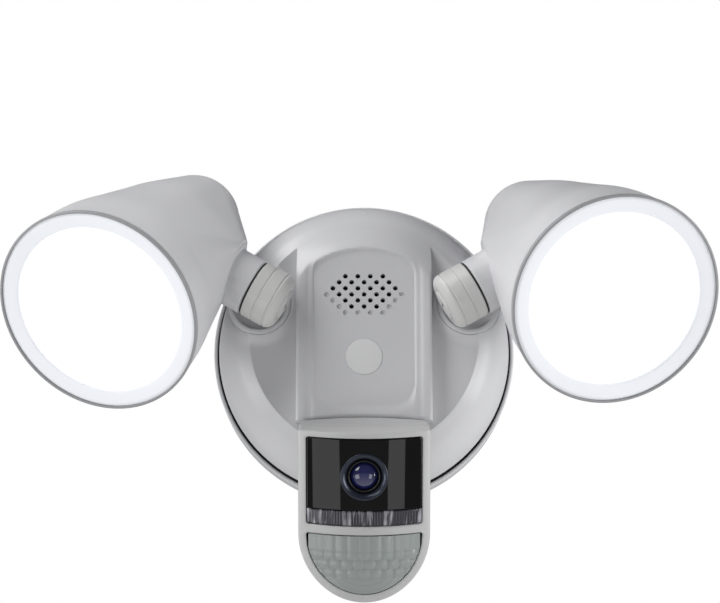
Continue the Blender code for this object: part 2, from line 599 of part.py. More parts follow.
def build_pod_shells(pod):
    rear = plate("pod_rear_shell", pod_outline(0), POD_REAR, POD_SPLIT - GAP, "housing", parent=pod)
    round_edges(rear, 1.5)
    cut(rear, plate("pod_rear_hollow", pod_outline(WALL), POD_REAR + WALL, POD_SPLIT + 2, parent=pod))
    bar_half = POD_HALF - 0.4
    top_bar = block("pod_top_bar", (-bar_half, -1.0, 0.0), (bar_half, POD_TOP, POD_REAR + 1.0), parent=pod)
    sides = 32
    half_step = Matrix.Rotation(math.pi / sides, 4, "Z")
    round_top = rod("pod_round_top", HINGE_R, -bar_half, bar_half, frame=ACROSS @ half_step, parent=pod, sides=sides)
    join(rear, top_bar, round_top)
    for side in (-1, 1):
        low_x, high_x = sorted((side * (LUG_X[0] - GAP), side * (LUG_X[1] + GAP)))
        cut(rear, rod(f"lug_room_{side}", LUG_R + 0.6, low_x, high_x, frame=ACROSS, parent=pod),
            block(f"web_room_{side}", (low_x, -8.0, -8.0), (high_x, 2.2, 0.0), parent=pod))
    cut(rear, rod("pod_pin_hole", PIN_R + GAP, -30, 30, frame=ACROSS, parent=pod, sides=16))
    rod("hinge_pin", PIN_R, -LUG_X[1], LUG_X[1], "steel", HINGE_ACROSS, sides=16)

    bezel = curved_piece("pod_bezel", pod_outline(0), POD_CURVE_R, 0, "housing", pod, back=POD_SPLIT)
    hollow = curved_piece("bezel_hollow", pod_outline(WALL), POD_CURVE_R - WALL, 0, None, pod, back=POD_SPLIT - 2)
    window = rounded_box(WINDOW_HALF + GAP, POD_TOP - STRIP_LOW - GAP, POD_TOP - WINDOW_TOP + GAP, 1.2)
    cut(bezel, hollow, plate("window_hole", window, POD_SPLIT + 4, POD_FRONT + 8, parent=pod),
        plate("pir_hole", pir_outline(-GAP), POD_SPLIT + 2, POD_FRONT + 8, parent=pod))
    seal = plate("pod_seal", pod_outline(3.0), POD_SPLIT - 2.2, POD_SPLIT + 1.6, "rubber", parent=pod)
    cut(seal, plate("pod_seal_inside", pod_outline(4.6), POD_SPLIT - 4, POD_SPLIT + 4, parent=pod))
    corners = [(-20, POD_TOP - 7), (20, POD_TOP - 7), (-14.5, POD_ROUND_Y - 14.5), (14.5, POD_ROUND_Y - 14.5)]
    for k, (x, y) in enumerate(corners):
        rod(f"pod_screw_{k + 1}", 1.4, POD_REAR + WALL + GAP, POD_SPLIT + 6, "steel", parent=pod, sides=12,
            frame=Matrix.Translation(Vector((x, y, 0)) * MM))


def build_pod_front(pod):
    """The window with its lens, the light strip and the motion sensor's lens, with the boards behind them."""
    glass = rounded_box(WINDOW_HALF, POD_TOP - WINDOW_LOW, POD_TOP - WINDOW_TOP, 1.0)
    pane = curved_piece("camera_window", glass, POD_CURVE_R - 0.3, POD_CURVE_R - 2.2, "window", pod)
    lens_at = Matrix.Translation(Vector((0, POD_TOP - LENS_DOWN, 0)) * MM)
    cut(pane, rod("lens_hole", LENS_R + GAP, POD_FRONT - 11, POD_FRONT + 9, frame=lens_at, parent=pod, sides=28))
    strip = rounded_box(WINDOW_HALF, POD_TOP - STRIP_LOW, POD_TOP - WINDOW_LOW - GAP, 0.8, count=3)
    curved_piece("light_strip", strip, POD_CURVE_R - 0.3, POD_CURVE_R - 2.4, "strip", pod)
    block("strip_led_board", (-20, POD_TOP - STRIP_LOW + 0.6, POD_FRONT - 14), (20, POD_TOP - WINDOW_LOW - 1.0,
          POD_FRONT - 14 + BOARD), "board", parent=pod)

    def front(profile):
        return [(radius, POD_FRONT + height) for radius, height in profile]

    ring = front([(LENS_R - 0.5, 0.2), (LENS_R, -0.4), (LENS_R, -4.5), (7.2, -4.5), (7.2, -2.0), (8.6, 0.2)])
    turned("lens_ring", ring, "black", lens_at, pod, steps=32, ring=True)
    barrel = front([(5.9, -2.0), (6.9, -2.6), (6.9, -13.0), (4.0, -13.0), (4.0, -4.8), (5.9, -4.8)])
    turned("lens_barrel", barrel, "black", lens_at, pod, steps=28, ring=True)
    lens = front([(0, -2.3), (2.9, -2.7), (5.6, -4.0), (5.6, -4.5), (0, -4.5)])
    turned("lens_glass", lens, "glass", lens_at, pod, steps=28)

    board_front = POD_BOARD + BOARD + GAP
    block("camera_board", (-18, POD_TOP - WINDOW_LOW + 2, POD_BOARD), (18, POD_TOP - 6, POD_BOARD + BOARD), "board",
          parent=pod)
    block("image_sensor", (-4, POD_TOP - LENS_DOWN - 4, board_front), (4, POD_TOP - LENS_DOWN + 4, board_front + 1.3),
          "black", parent=pod)
    rod("microphone", 2.5, board_front, board_front + 2.7, "steel", parent=pod,
        frame=Matrix.Translation(Vector((-13, POD_TOP - WINDOW_LOW + 6, 0)) * MM))
    curved_piece("pir_lens", pir_outline(0), POD_CURVE_R - 0.2, POD_CURVE_R - 1.8, "fresnel", pod)
    block("pir_board", (-10, POD_ROUND_Y - 14, POD_BOARD), (10, POD_ROUND_Y + 2, POD_BOARD + BOARD), "board",
          parent=pod)
    rod("pir_sensor", 4.6, board_front, board_front + 4.7, "steel", parent=pod,
        frame=Matrix.Translation(Vector((0, POD_ROUND_Y - 6, 0)) * MM))


def build_pod():
    turn = Matrix.Rotation(math.radians(POD_TILT), 4, "X")
    pod = empty("camera_pod", Matrix.Translation(Vector((0, HINGE_Y, HINGE_Z)) * MM) @ turn @ FRONT)
    build_pod_shells(pod)
    build_pod_front(pod)


build_front_cover()
build_wall_base()
build_inside_base()
for arm_side, arm_name in ((-1, "left"), (1, "right")):
    lamp_empty, lamp_world = build_arm(arm_side, arm_name)
    build_lamp(arm_side, arm_name, lamp_empty, lamp_world)
build_pod()
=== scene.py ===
"""Looks of the floodlight security camera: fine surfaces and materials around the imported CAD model.

Lengths are in millimetres and are scaled by MM; +X is the viewer's right, +Y goes into the wall, +Z is up.
"""
import json
import math
import bmesh
import bpy
from mathutils import Matrix, Vector


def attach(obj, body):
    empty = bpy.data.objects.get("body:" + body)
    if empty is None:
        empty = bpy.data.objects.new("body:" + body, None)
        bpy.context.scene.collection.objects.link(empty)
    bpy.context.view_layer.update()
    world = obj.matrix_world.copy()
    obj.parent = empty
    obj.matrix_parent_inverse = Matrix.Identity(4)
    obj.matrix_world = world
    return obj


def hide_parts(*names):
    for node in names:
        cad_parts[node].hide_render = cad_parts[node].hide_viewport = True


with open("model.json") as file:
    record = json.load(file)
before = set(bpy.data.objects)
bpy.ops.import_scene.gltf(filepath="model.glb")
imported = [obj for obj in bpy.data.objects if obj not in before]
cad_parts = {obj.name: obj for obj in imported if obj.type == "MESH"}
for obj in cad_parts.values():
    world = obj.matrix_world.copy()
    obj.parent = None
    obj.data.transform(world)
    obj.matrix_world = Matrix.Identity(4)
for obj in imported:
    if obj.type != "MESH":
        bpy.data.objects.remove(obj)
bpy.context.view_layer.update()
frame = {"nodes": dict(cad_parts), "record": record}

MM = 0.001
SCENE = bpy.context.scene

# --- camera ----------------------------------------------------------------------------------------------
VIEW_PITCH = 12.0              # the camera looks up at the object
VIEW_DISTANCE = 900.0
FOCAL_PIXELS = 2069.0
IMAGE_WIDTH = 720
SENSOR = 36.0
AIM = Vector((-1.74, -40.0, 18.0))
FAR_CLIP = 50.0                # metres


def build_camera():
    pitch = math.radians(VIEW_PITCH)
    forward = Vector((0, math.cos(pitch), math.sin(pitch)))
    data = bpy.data.cameras.new("camera")
    data.sensor_width = SENSOR
    data.lens = SENSOR * FOCAL_PIXELS / IMAGE_WIDTH
    data.clip_end = FAR_CLIP
    camera = bpy.data.objects.new("camera", data)
    SCENE.collection.objects.link(camera)
    camera.location = (AIM - forward * VIEW_DISTANCE) * MM
    camera.rotation_euler = forward.to_track_quat("-Z", "Y").to_euler()
    SCENE.camera = camera


# --- lights and floor ------------------------------------------------------------------------------------
# Positions and sizes here are in metres, powers in watts and colours are linear.
BACKDROP_COLOUR = (1, 1, 1)
FILL_COLOUR = (0.93, 0.95, 1.0)
FILL_STRENGTH = 0.11
BASE_MIDDLE = (0, -0.05, 0)
POD_MIDDLE = (0, -0.09, -0.06)
# name, position, power, width, height and the place that the light looks at
LIGHTS = (("right", (1.25, -0.3, 0.0), 12.5, 0.7, 0.9, BASE_MIDDLE),
          ("left", (-1.25, -0.2, -0.15), 6.0, 0.6, 0.9, BASE_MIDDLE),
          ("top", (-0.45, -0.25, 0.68), 4.8, 0.8, 0.4, BASE_MIDDLE),
          ("glint", (-0.7, -0.8, 0.3), 2.2, 0.45, 0.45, POD_MIDDLE))
# low boxes that show as bands in the camera window: name, degrees from straight ahead, width
BAND_LIGHTS = (("left_strip", -44, 0.37), ("right_strip", 37.5, 0.22))
BAND_REACH = 0.68
BAND_Z = -0.42
BAND_TALL = 0.28
BAND_POWER = 5.8               # per square metre
FLOOR_HALF = 4.0
FLOOR_Z = -1.1
FLOOR_COLOUR = (0.86, 0.86, 0.85)
FLOOR_GLOW = 0.24


def area_light(name, location, power, wide, tall, target):
    data = bpy.data.lights.new(name, "AREA")
    data.energy = power
    data.shape = "RECTANGLE"
    data.size = wide
    data.size_y = tall
    light = bpy.data.objects.new(name, data)
    light.location = location
    light.rotation_euler = (Vector(target) - Vector(location)).to_track_quat("-Z", "Y").to_euler()
    SCENE.collection.objects.link(light)


def build_world():
    """A backdrop that only the camera sees, and a dim fill that lights the object."""
    world = bpy.data.worlds.new("studio")
    SCENE.world = world
    world.use_nodes = True
    nodes, links = world.node_tree.nodes, world.node_tree.links
    backdrop = nodes["Background"]
    backdrop.inputs["Color"].default_value = (*BACKDROP_COLOUR, 1)
    backdrop.inputs["Strength"].default_value = 1.0
    fill = nodes.new("ShaderNodeBackground")
    fill.inputs["Color"].default_value = (*FILL_COLOUR, 1)
    fill.inputs["Strength"].default_value = FILL_STRENGTH
    path = nodes.new("ShaderNodeLightPath")
    mix = nodes.new("ShaderNodeMixShader")
    links.new(path.outputs["Is Camera Ray"], mix.inputs[0])
    links.new(fill.outputs[0], mix.inputs[1])
    links.new(backdrop.outputs[0], mix.inputs[2])
    links.new(mix.outputs[0], nodes["World Output"].inputs["Surface"])


def build_floor():
    bm = bmesh.new()
    bmesh.ops.create_grid(bm, x_segments=1, y_segments=1, size=FLOOR_HALF)
    mesh = bpy.data.meshes.new("floor")
    bm.to_mesh(mesh)
    bm.free()
    floor = bpy.data.objects.new("floor", mesh)
    floor.location = (0, 0, FLOOR_Z)
    SCENE.collection.objects.link(floor)
    mesh.materials.append(glowing("floor_paint", FLOOR_COLOUR, FLOOR_GLOW))


def build_studio():
    SCENE.view_settings.view_transform = "Standard"
    build_world()
    for name, location, power, wide, tall, target in LIGHTS:
        area_light(name, location, power, wide, tall, target)
    for name, angle, wide in BAND_LIGHTS:
        turn = math.radians(angle)
        at = (BAND_REACH * math.sin(turn), POD_MIDDLE[1] - BAND_REACH * math.cos(turn), BAND_Z)
        area_light(name, at, BAND_POWER * wide * BAND_TALL, wide, BAND_TALL, POD_MIDDLE)
    build_floor()


# --- materials -------------------------------------------------------------------------------------------
NOISE_LOW = 0.3                # the range that a noise mostly stays in
NOISE_HIGH = 0.7
PATCH_SCALE = 18.0             # noise scales, in cells per metre: colour patches, gloss and wipe marks
GLOSS_SCALE = 60.0
WIPE_SCALE = 40.0
BUMP_STRENGTH = 0.6
# painted highlights of the clear strip, as upright streaks in its colour: noise scale, stretch and range
HIGHLIGHT_STREAK_SCALE = 620.0
HIGHLIGHT_STREAK_STRETCH = (1.0, 0.12, 0.12)
HIGHLIGHT_STREAK_RANGE = (0.50, 0.74)


def shader_of(name):
    material = bpy.data.materials.new(name)
    material.use_nodes = True
    return material, material.node_tree.nodes, material.node_tree.links


def noise(nodes, scale, detail=3.0, stretch=(1.0, 1.0, 1.0)):
    """A noise value over the object; an axis with a small stretch factor gets longer cells."""
    links = nodes.id_data.links
    coordinates = nodes.new("ShaderNodeTexCoord")
    mapping = nodes.new("ShaderNodeMapping")
    mapping.inputs["Scale"].default_value = stretch
    links.new(coordinates.outputs["Object"], mapping.inputs["Vector"])
    texture = nodes.new("ShaderNodeTexNoise")
    texture.inputs["Scale"].default_value = scale
    texture.inputs["Detail"].default_value = detail
    links.new(mapping.outputs["Vector"], texture.inputs["Vector"])
    return texture.outputs["Fac"]


def spread(nodes, value, low, high):
    """Map the usual range of a noise onto low to high."""
    scale = nodes.new("ShaderNodeMapRange")
    scale.inputs["From Min"].default_value = NOISE_LOW
    scale.inputs["From Max"].default_value = NOISE_HIGH
    scale.inputs["To Min"].default_value = low
    scale.inputs["To Max"].default_value = high
    nodes.id_data.links.new(value, scale.inputs["Value"])
    return scale.outputs["Result"]


def two_tone(nodes, value, low, high, first, second):
    """A ramp from the first colour, at a low value, to the second, at a high one."""
    ramp = nodes.new("ShaderNodeValToRGB")
    ends = ramp.color_ramp.elements
    ends[0].position = low
    ends[1].position = high
    ends[0].color = (*first, 1)
    ends[1].color = (*second, 1)
    nodes.id_data.links.new(value, ramp.inputs["Fac"])
    return ramp.outputs["Color"]


def tint(nodes, value, colour, change):
    """A colour that varies a little, darker to lighter, with a noise value."""
    darker = [min(1.0, c * (1 - change)) for c in colour]
    lighter = [min(1.0, c * (1 + change)) for c in colour]
    return two_tone(nodes, value, NOISE_LOW, NOISE_HIGH, darker, lighter)


def bump(nodes, value, height, shader):
    node = nodes.new("ShaderNodeBump")
    node.inputs["Strength"].default_value = BUMP_STRENGTH
    node.inputs["Distance"].default_value = height * MM
    nodes.id_data.links.new(value, node.inputs["Height"])
    nodes.id_data.links.new(node.outputs["Normal"], shader.inputs["Normal"])


def wipe_marks(nodes, roughness, shader):
    """Faint uneven gloss, as left by wiping."""
    gloss = spread(nodes, noise(nodes, WIPE_SCALE), roughness * 0.8, roughness * 1.3)
    nodes.id_data.links.new(gloss, shader.inputs["Roughness"])


def moulded(name, colour, roughness, change=0.015, grain=900.0, height=0.02, metallic=0.0):
    """A moulded or cast surface: fine grain, patchy gloss and a slightly uneven colour."""
    material, nodes, links = shader_of(name)
    shader = nodes["Principled BSDF"]
    shader.inputs["Metallic"].default_value = metallic
    links.new(tint(nodes, noise(nodes, PATCH_SCALE), colour, change), shader.inputs["Base Color"])
    gloss = spread(nodes, noise(nodes, GLOSS_SCALE), roughness * 0.88, roughness * 1.12)
    links.new(gloss, shader.inputs["Roughness"])
    bump(nodes, noise(nodes, grain, 2.0), height, shader)
    return material


def glowing(name, colour, strength):
    material, nodes, links = shader_of(name)
    shader = nodes["Principled BSDF"]
    shader.inputs["Roughness"].default_value = 0.35
    shade = tint(nodes, noise(nodes, 30.0), colour, 0.01)
    links.new(shade, shader.inputs["Base Color"])
    links.new(shade, shader.inputs["Emission Color"])
    shader.inputs["Emission Strength"].default_value = strength
    return material


def polished(name, colour, roughness, coat, ior):
    """A clean glossy surface with faint wipe marks in its roughness."""
    material, nodes, links = shader_of(name)
    shader = nodes["Principled BSDF"]
    shader.inputs["IOR"].default_value = ior
    shader.inputs["Coat Weight"].default_value = coat
    links.new(tint(nodes, noise(nodes, 25.0), colour, 0.03), shader.inputs["Base Color"])
    wipe_marks(nodes, roughness, shader)
    return material


def painted_highlight_streaks(name, dark, light, roughness):
    """Clear plastic over a dark cavity, with painted highlights: bright upright streaks in its colour stand for
    the shine on its ribs.
    """
    material, nodes, links = shader_of(name)
    shader = nodes["Principled BSDF"]
    # the bright streaks painted into the base colour are painted highlights, not parts of the strip
    painted_highlights = noise(nodes, HIGHLIGHT_STREAK_SCALE, 2.0, HIGHLIGHT_STREAK_STRETCH)
    links.new(two_tone(nodes, painted_highlights, *HIGHLIGHT_STREAK_RANGE, dark, light), shader.inputs["Base Color"])
    wipe_marks(nodes, roughness, shader)
    return material


def slot_materials():
    return {
        "housing": moulded("white_abs", (0.70, 0.70, 0.715), 0.34),
        "rubber": moulded("black_rubber", (0.025, 0.025, 0.025), 0.7, 0.1, 1500.0, 0.03),
        "plug": moulded("white_plug", (0.80, 0.80, 0.80), 0.5),
        "steel": moulded("zinc_steel", (0.60, 0.60, 0.62), 0.32, 0.08, 600.0, 0.01, metallic=1.0),
        "board": moulded("circuit_board", (0.03, 0.16, 0.07), 0.45, 0.25, 260.0, 0.03),
        "black": moulded("black_plastic", (0.015, 0.015, 0.017), 0.32, 0.1),
        "window": polished("black_acrylic", (0.0005, 0.0005, 0.0007), 0.035, 0.0, 1.36),
        # the strip's pale upright streaks are painted highlights
        "strip": painted_highlight_streaks("clear_strip_painted_highlights", (0.03, 0.03, 0.04), (0.55, 0.54, 0.60), 0.1),
        "fresnel": moulded("milky_lens", (0.33, 0.36, 0.35), 0.22, 0.03, 700.0, 0.01),
        "glass": polished("coated_glass", (0.012, 0.014, 0.09), 0.02, 1.0, 1.6),
        "diffuser": glowing("lit_diffuser", (0.97, 0.985, 1.0), 0.95),
        "aluminium": moulded("cast_aluminium", (0.70, 0.71, 0.73), 0.42, 0.05, 800.0, 0.03, metallic=1.0),
        "nylon": moulded("nylon", (0.72, 0.71, 0.66), 0.5, 0.03),
        "arm_plastic": moulded("arm_plastic", (0.68, 0.675, 0.665), 0.34),
        "pod_plastic": moulded("pod_plastic", (0.54, 0.54, 0.54), 0.38),
        "lamp_rim": moulded("lamp_rim", (0.36, 0.36, 0.37), 0.4),
        # the pale ring round each lamp's lit disc glows with painted light: the lamp's light falling on the
        # bezel's white inner wall
        "lens_rim_painted_glow": glowing("lens_rim_painted_glow", (0.74, 0.755, 0.79), 0.36),
        "lens_metal": moulded("lens_metal", (0.032, 0.038, 0.055), 0.25, 0.1, 900.0, 0.01, metallic=0.5),
    }


def dress_cad(materials):
    """Every CAD node takes the fine material of its slot."""
    for part in frame["record"]["subparts"]:
        node = frame["nodes"][part["node"]]
        node.data.materials.clear()
        node.data.materials.append(materials[part["material_slot"]])


# --- shapes ----------------------------------------------------------------------------------------------
# frames that look out of the wall: +X right, +Y up, +Z towards the viewer
FRONT = Matrix.Rotation(math.radians(90), 4, "X")
ACROSS = Matrix.Rotation(math.radians(90), 4, "Y")


def front_at(x, z):
    return Matrix.Translation(Vector((x, 0, z)) * MM) @ FRONT


def axis_frame(at, direction):
    """A frame at a point, +Z along a direction and +Y as near as can be to up."""
    z = Vector(direction).normalized()
    x = Vector((0, 0, 1)).cross(z).normalized()
    return Matrix.Translation(Vector(at) * MM) @ Matrix((x, z.cross(x), z)).transposed().to_4x4()


def smooth(value, low, high):
    """0 below low, 1 above high, with an even ease between."""
    t = min(max((value - low) / (high - low), 0.0), 1.0)
    return t * t * (3 - 2 * t)


def blend_line(points, value):
    """Smooth curve through (input, output) points, read at one input."""
    for k in range(len(points) - 1):
        if value <= points[k + 1][0] or k == len(points) - 2:
            break
    (x0, y0), (x1, y1) = points[k], points[k + 1]
    before = points[max(k - 1, 0)]
    after = points[min(k + 2, len(points) - 1)]
    slope0 = (y1 - before[1]) / (x1 - before[0])
    slope1 = (after[1] - y0) / (after[0] - x0)
    t = (value - x0) / (x1 - x0)
    width = x1 - x0
    return ((2 * t ** 3 - 3 * t ** 2 + 1) * y0 + (t ** 3 - 2 * t ** 2 + t) * width * slope0
            + (3 * t ** 2 - 2 * t ** 3) * y1 + (t ** 3 - t ** 2) * width * slope1)


def arc(centre, radius, start, end, count):
    steps = [math.radians(start + (end - start) * k / (count - 1)) for k in range(count)]
    return [(centre[0] + radius * math.cos(a), centre[1] + radius * math.sin(a)) for a in steps]


def rounded_box(half_x, low, high, radius, count=8):
    corners = ((half_x - radius, high - radius, 0), (radius - half_x, high - radius, 90),
               (radius - half_x, low + radius, 180), (half_x - radius, low + radius, 270))
    return [p for x, y, start in corners for p in arc((x, y), radius, start, start + 90, count)]


def round_over(start, corner, end, count):
    """Points of a curve that leaves start and reaches end along the lines to a corner."""
    steps = [k / count for k in range(count + 1)]
    return [tuple(start * (1 - t) ** 2 + corner * 2 * t * (1 - t) + end * t ** 2) for t in steps]


def rounded(profile, radius, count=4):
    """A profile whose inner corners are rounded by up to a radius."""
    out = [profile[0]]
    for before, corner, after in zip(profile, profile[1:], profile[2:]):
        if corner[0] == 0:
            out.append(corner)
            continue
        a, c, b = Vector(before), Vector(corner), Vector(after)
        reach = min(radius, (a - c).length * 0.45, (b - c).length * 0.45)
        out += round_over(c + (a - c).normalized() * reach, c, c + (b - c).normalized() * reach, count)
    return out + [profile[-1]]


def mesh_object(name, bm, matrix=None):
    """A mesh object from a bmesh in millimetres, placed by a matrix in metres."""
    bmesh.ops.recalc_face_normals(bm, faces=bm.faces)
    bmesh.ops.scale(bm, vec=(MM, MM, MM), verts=bm.verts)
    mesh = bpy.data.meshes.new(name)
    bm.to_mesh(mesh)
    bm.free()
    obj = bpy.data.objects.new(name, mesh)
    SCENE.collection.objects.link(obj)
    if matrix:
        obj.matrix_world = matrix
    return obj


def circle(radius, steps, x=0.0, y=0.0):
    turns = [2 * math.pi * k / steps for k in range(steps)]
    return [(x + radius * math.cos(a), y + radius * math.sin(a)) for a in turns]


def stack(name, loops, matrix=None, ring=False, caps=False):
    """Skin a stack of loops of points; a loop of one point closes an end, and so do caps."""
    bm = bmesh.new()
    rings = [[bm.verts.new(spot) for spot in loop] for loop in loops]
    for first, second in zip(rings, rings[1:] + rings[:1] if ring else rings[1:]):
        skin(bm, first, second)
    if caps:
        bm.faces.new(rings[0])
        bm.faces.new(rings[-1])
    return mesh_object(name, bm, matrix)


def turned(name, profile, matrix=None, steps=128, ring=False):
    """A turned shape from (radius, height) points down its outer side; ring closes the loop."""
    loops = [[(0, 0, height)] if radius < 1e-6 else [(x, y, height) for x, y in circle(radius, steps)]
             for radius, height in profile]
    return stack(name, loops, matrix, ring)


def skin(bm, first, second):
    """Faces between two loops, which have equal counts of corners or just one."""
    steps = max(len(first), len(second))
    for k in range(steps):
        n = (k + 1) % steps
        corners = [first[k % len(first)], first[n % len(first)]]
        corners += [second[n % len(second)], second[k % len(second)]]
        corners = list(dict.fromkeys(corners))
        if len(corners) > 2:
            bm.faces.new(corners)


def rod(name, radius, low, high, matrix=None, steps=64):
    return turned(name, [(0, high), (radius, high), (radius, low), (0, low)], matrix, steps)


def block(name, low, high, matrix=None):
    bm = bmesh.new()
    bmesh.ops.create_cube(bm, size=1.0)
    bmesh.ops.scale(bm, vec=[h - l for l, h in zip(low, high)], verts=bm.verts)
    bmesh.ops.translate(bm, vec=[(l + h) / 2 for l, h in zip(low, high)], verts=bm.verts)
    return mesh_object(name, bm, matrix)


def sheet(name, columns, rows, point, back, matrix=None):
    """A closed slab whose front is a grid of points and whose back lies at one height."""
    bm = bmesh.new()
    front = [[bm.verts.new(point(u / columns, v / rows)) for u in range(columns + 1)]
             for v in range(rows + 1)]
    rear = [[bm.verts.new((p.co.x, p.co.y, back)) if edge(u, v, columns, rows) else None
             for u, p in enumerate(line)] for v, line in enumerate(front)]
    for v in range(rows):
        for u in range(columns):
            bm.faces.new((front[v][u], front[v][u + 1], front[v + 1][u + 1], front[v + 1][u]))
    rim = [(u, 0) for u in range(columns)] + [(columns, v) for v in range(rows)]
    rim += [(u, rows) for u in range(columns, 0, -1)] + [(0, v) for v in range(rows, 0, -1)]
    for (u0, v0), (u1, v1) in zip(rim, rim[1:] + rim[:1]):
        bm.faces.new((front[v0][u0], front[v1][u1], rear[v1][u1], rear[v0][u0]))
    bm.faces.new([rear[v][u] for u, v in rim])
    return mesh_object(name, bm, matrix)


def edge(u, v, columns, rows):
    """Whether a point of a grid lies on its rim."""
    return u in (0, columns) or v in (0, rows)


def prism(name, outlines, low, high, matrix=None, bevel=0.0):
    """Flat outlines, the later ones being holes, as thick as low to high, with rounded rims."""
    curve = bpy.data.curves.new(name, "CURVE")
    curve.dimensions = "2D"
    curve.fill_mode = "BOTH"
    curve.extrude = ((high - low) / 2 - bevel) * MM
    curve.bevel_depth = bevel * MM
    curve.bevel_resolution = 3
    curve.offset = -bevel * MM
    for outline in outlines:
        spline = curve.splines.new("POLY")
        spline.points.add(len(outline) - 1)
        for spot, (x, y) in zip(spline.points, outline):
            spot.co = (x * MM, y * MM, 0, 1)
        spline.use_cyclic_u = True
    guide = bpy.data.objects.new(name, curve)
    SCENE.collection.objects.link(guide)
    mesh = bpy.data.meshes.new_from_object(guide.evaluated_get(bpy.context.evaluated_depsgraph_get()))
    bpy.data.objects.remove(guide, do_unlink=True)
    bm = bmesh.new()
    bm.from_mesh(mesh)
    bmesh.ops.remove_doubles(bm, verts=bm.verts, dist=1e-6)
    bmesh.ops.scale(bm, vec=(1 / MM, 1 / MM, 1 / MM), verts=bm.verts)
    bmesh.ops.translate(bm, vec=(0, 0, (low + high) / 2), verts=bm.verts)
    bmesh.ops.dissolve_degenerate(bm, dist=1e-4, edges=bm.edges)
    return mesh_object(name, bm, matrix)


def combine(obj, operation, others):
    """Boolean an object with others, which are removed."""
    for other in others:
        step = obj.modifiers.new(other.name, "BOOLEAN")
        step.operation = operation
        step.object = other
        step.solver = "MANIFOLD"
    mesh = bpy.data.meshes.new_from_object(obj.evaluated_get(bpy.context.evaluated_depsgraph_get()))
    obj.modifiers.clear()
    obj.data = mesh
    for other in others:
        bpy.data.objects.remove(other, do_unlink=True)


def cut(obj, *others):
    combine(obj, "DIFFERENCE", others)


def join(obj, *others):
    combine(obj, "UNION", others)


def keep_inside(obj, *others):
    combine(obj, "INTERSECT", others)


def dress(obj, slot, body, *nodes, sharp=32, finish=None):
    """Give a finished piece its shading, material, body and the CAD nodes that it stands for."""
    obj.data.transform(obj.matrix_world)
    obj.matrix_world = Matrix.Identity(4)
    obj.data.materials.clear()
    obj.data.materials.append(MATERIALS[finish or slot])
    obj.data.shade_smooth()
    obj.data.set_sharp_from_angle(angle=math.radians(sharp))
    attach(obj, body)
    if nodes:
        obj.name = "fine_" + nodes[0]
        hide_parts(*nodes)


# --- wall plate, cover and column ------------------------------------------------------------------------
# Profiles are lists of (radius, height off the wall), unless they say otherwise.
CLEARANCE = 0.3                # gap around pieces that move or are set in
PAST = 2.0                     # how far a cutter reaches past a surface
ROUND_STEPS = 192
BASE_R = 66.6
PLATE_FRONT = 15.5
FLOOR_REAR = 2.9               # the plate's back wall
FLOOR_FRONT = 5.3
PLATE_RIM = [(59.0, FLOOR_FRONT), (59.0, 11.3), (63.6, 11.3), (63.6, 13.4), (65.0, 13.4), (65.0, PLATE_FRONT),
             (BASE_R, PLATE_FRONT), (BASE_R, 0.0), (63.4, 0.0), (63.4, FLOOR_REAR)]
HUB_R = 5.4
SUPPLY_R = 9.0
SUPPLY_Z = 30.0
SCREW_HOLE_R = 4.4
SCREW_X = 44.5
SCREW_Z = -5.75
SEAL_LOOP = [(60.4, 11.6), (63.4, 11.6), (63.4, 13.7), (64.9, 13.7), (64.9, 14.3), (63.9, 14.5), (63.9, 16.2),
             (60.4, 16.2)]
COVER_R = 64.2
COVER_REAR = 16.4
FLAT = 50.0                    # the dome's flat front, off the wall
FLAT_R = 49.5
SKIRT = ((50.6, 48.6), (55.5, 43.6), (59.6, 37.0), (62.2, 30.0), (63.6, 23.0))
RIM_TALL = 1.2
RIM_DRAFT = 0.25
# radii of the dome's rings, closer together where the skirt curves
DOME_RINGS = ([2.0 + 1.0 * k for k in range(48)] + [50.1 + 0.55 * k for k in range(8)]
              + [54.6 + 0.8 * k for k in range(11)] + [63.0, 63.4, 63.75, 64.0])
SHELL = 2.4                    # moulded wall thickness
COLUMN = 60.0                  # the column's front, off the wall
COLUMN_REAR = COVER_REAR + 5
COLUMN_HALF = 28.8
COLUMN_TOP = 52.0
COLUMN_WALL = 1.25             # wall of the column's front, as a share of SHELL
COLUMN_GRID = (84, 116)
CROWDING = 0.055
FOREHEAD_R = 37.2
FOREHEAD = ((FOREHEAD_R, COLUMN), (42.0, 57.0), (46.5, 53.0)) + SKIRT[:4]
FOREHEAD_SINK = 0.12
FOREHEAD_BLEND = 1.2
RAIL_WIDTH = 4.4
RAIL_CROWN = 0.55
RAIL_EDGE = (1.6, 0.9)         # width and drop of the rounded outer edge
PANEL_HALF = 22.0
PANEL_SINK = 1.0
PANEL_LOW = -34.6
PANEL_CORNER = 8.0
PANEL_SHOULDER = 3.0
PANEL_EDGE = 0.7               # width of the panel's sloping edge, and what it gains towards the lower end
PANEL_EDGE_LOW = 4.0
PANEL_EDGE_SPAN = (22.0, 33.0)
TROUGH = 0.5                   # groove between the panel and the rails: depth and both slopes
TROUGH_INNER = (PANEL_HALF - 0.6, PANEL_HALF + 0.6)
TROUGH_OUTER = (23.4, 25.4)
SHELF_MIDDLE = -35.75          # lower edge of the column, arched over the pod's crowned top
SHELF_SIDE = -37.2
SHELF_ROUND = (1.4, 0.8)       # width and drop of its rounded edge
CUP_AT = (45.0, 14.6)
CUP_R = 13.7
CUP_GAP = 0.12
CUP_LIP = 3.4
FLARE_RISE = 2.9
FLARE_REACH = 5.2
FLARE_POWER = 1.6
GRILLE_Z = 17.2
GRILLE_MIDDLE = 3              # the row that lies at GRILLE_Z
HOLE_R = 1.04
HOLE_STEPS = 24
HOLE_DEPTH = 5.0
HOLE_PITCH = 5.32
ROW_PITCH = 2.64
OPEN_ROWS = (4, 5, 6, 5, 4, 3)  # holes in each row, from the top
DIMPLE_ENDS = {3: 7, 4: 6, 5: 5}  # places in the rows whose two ends are dimples
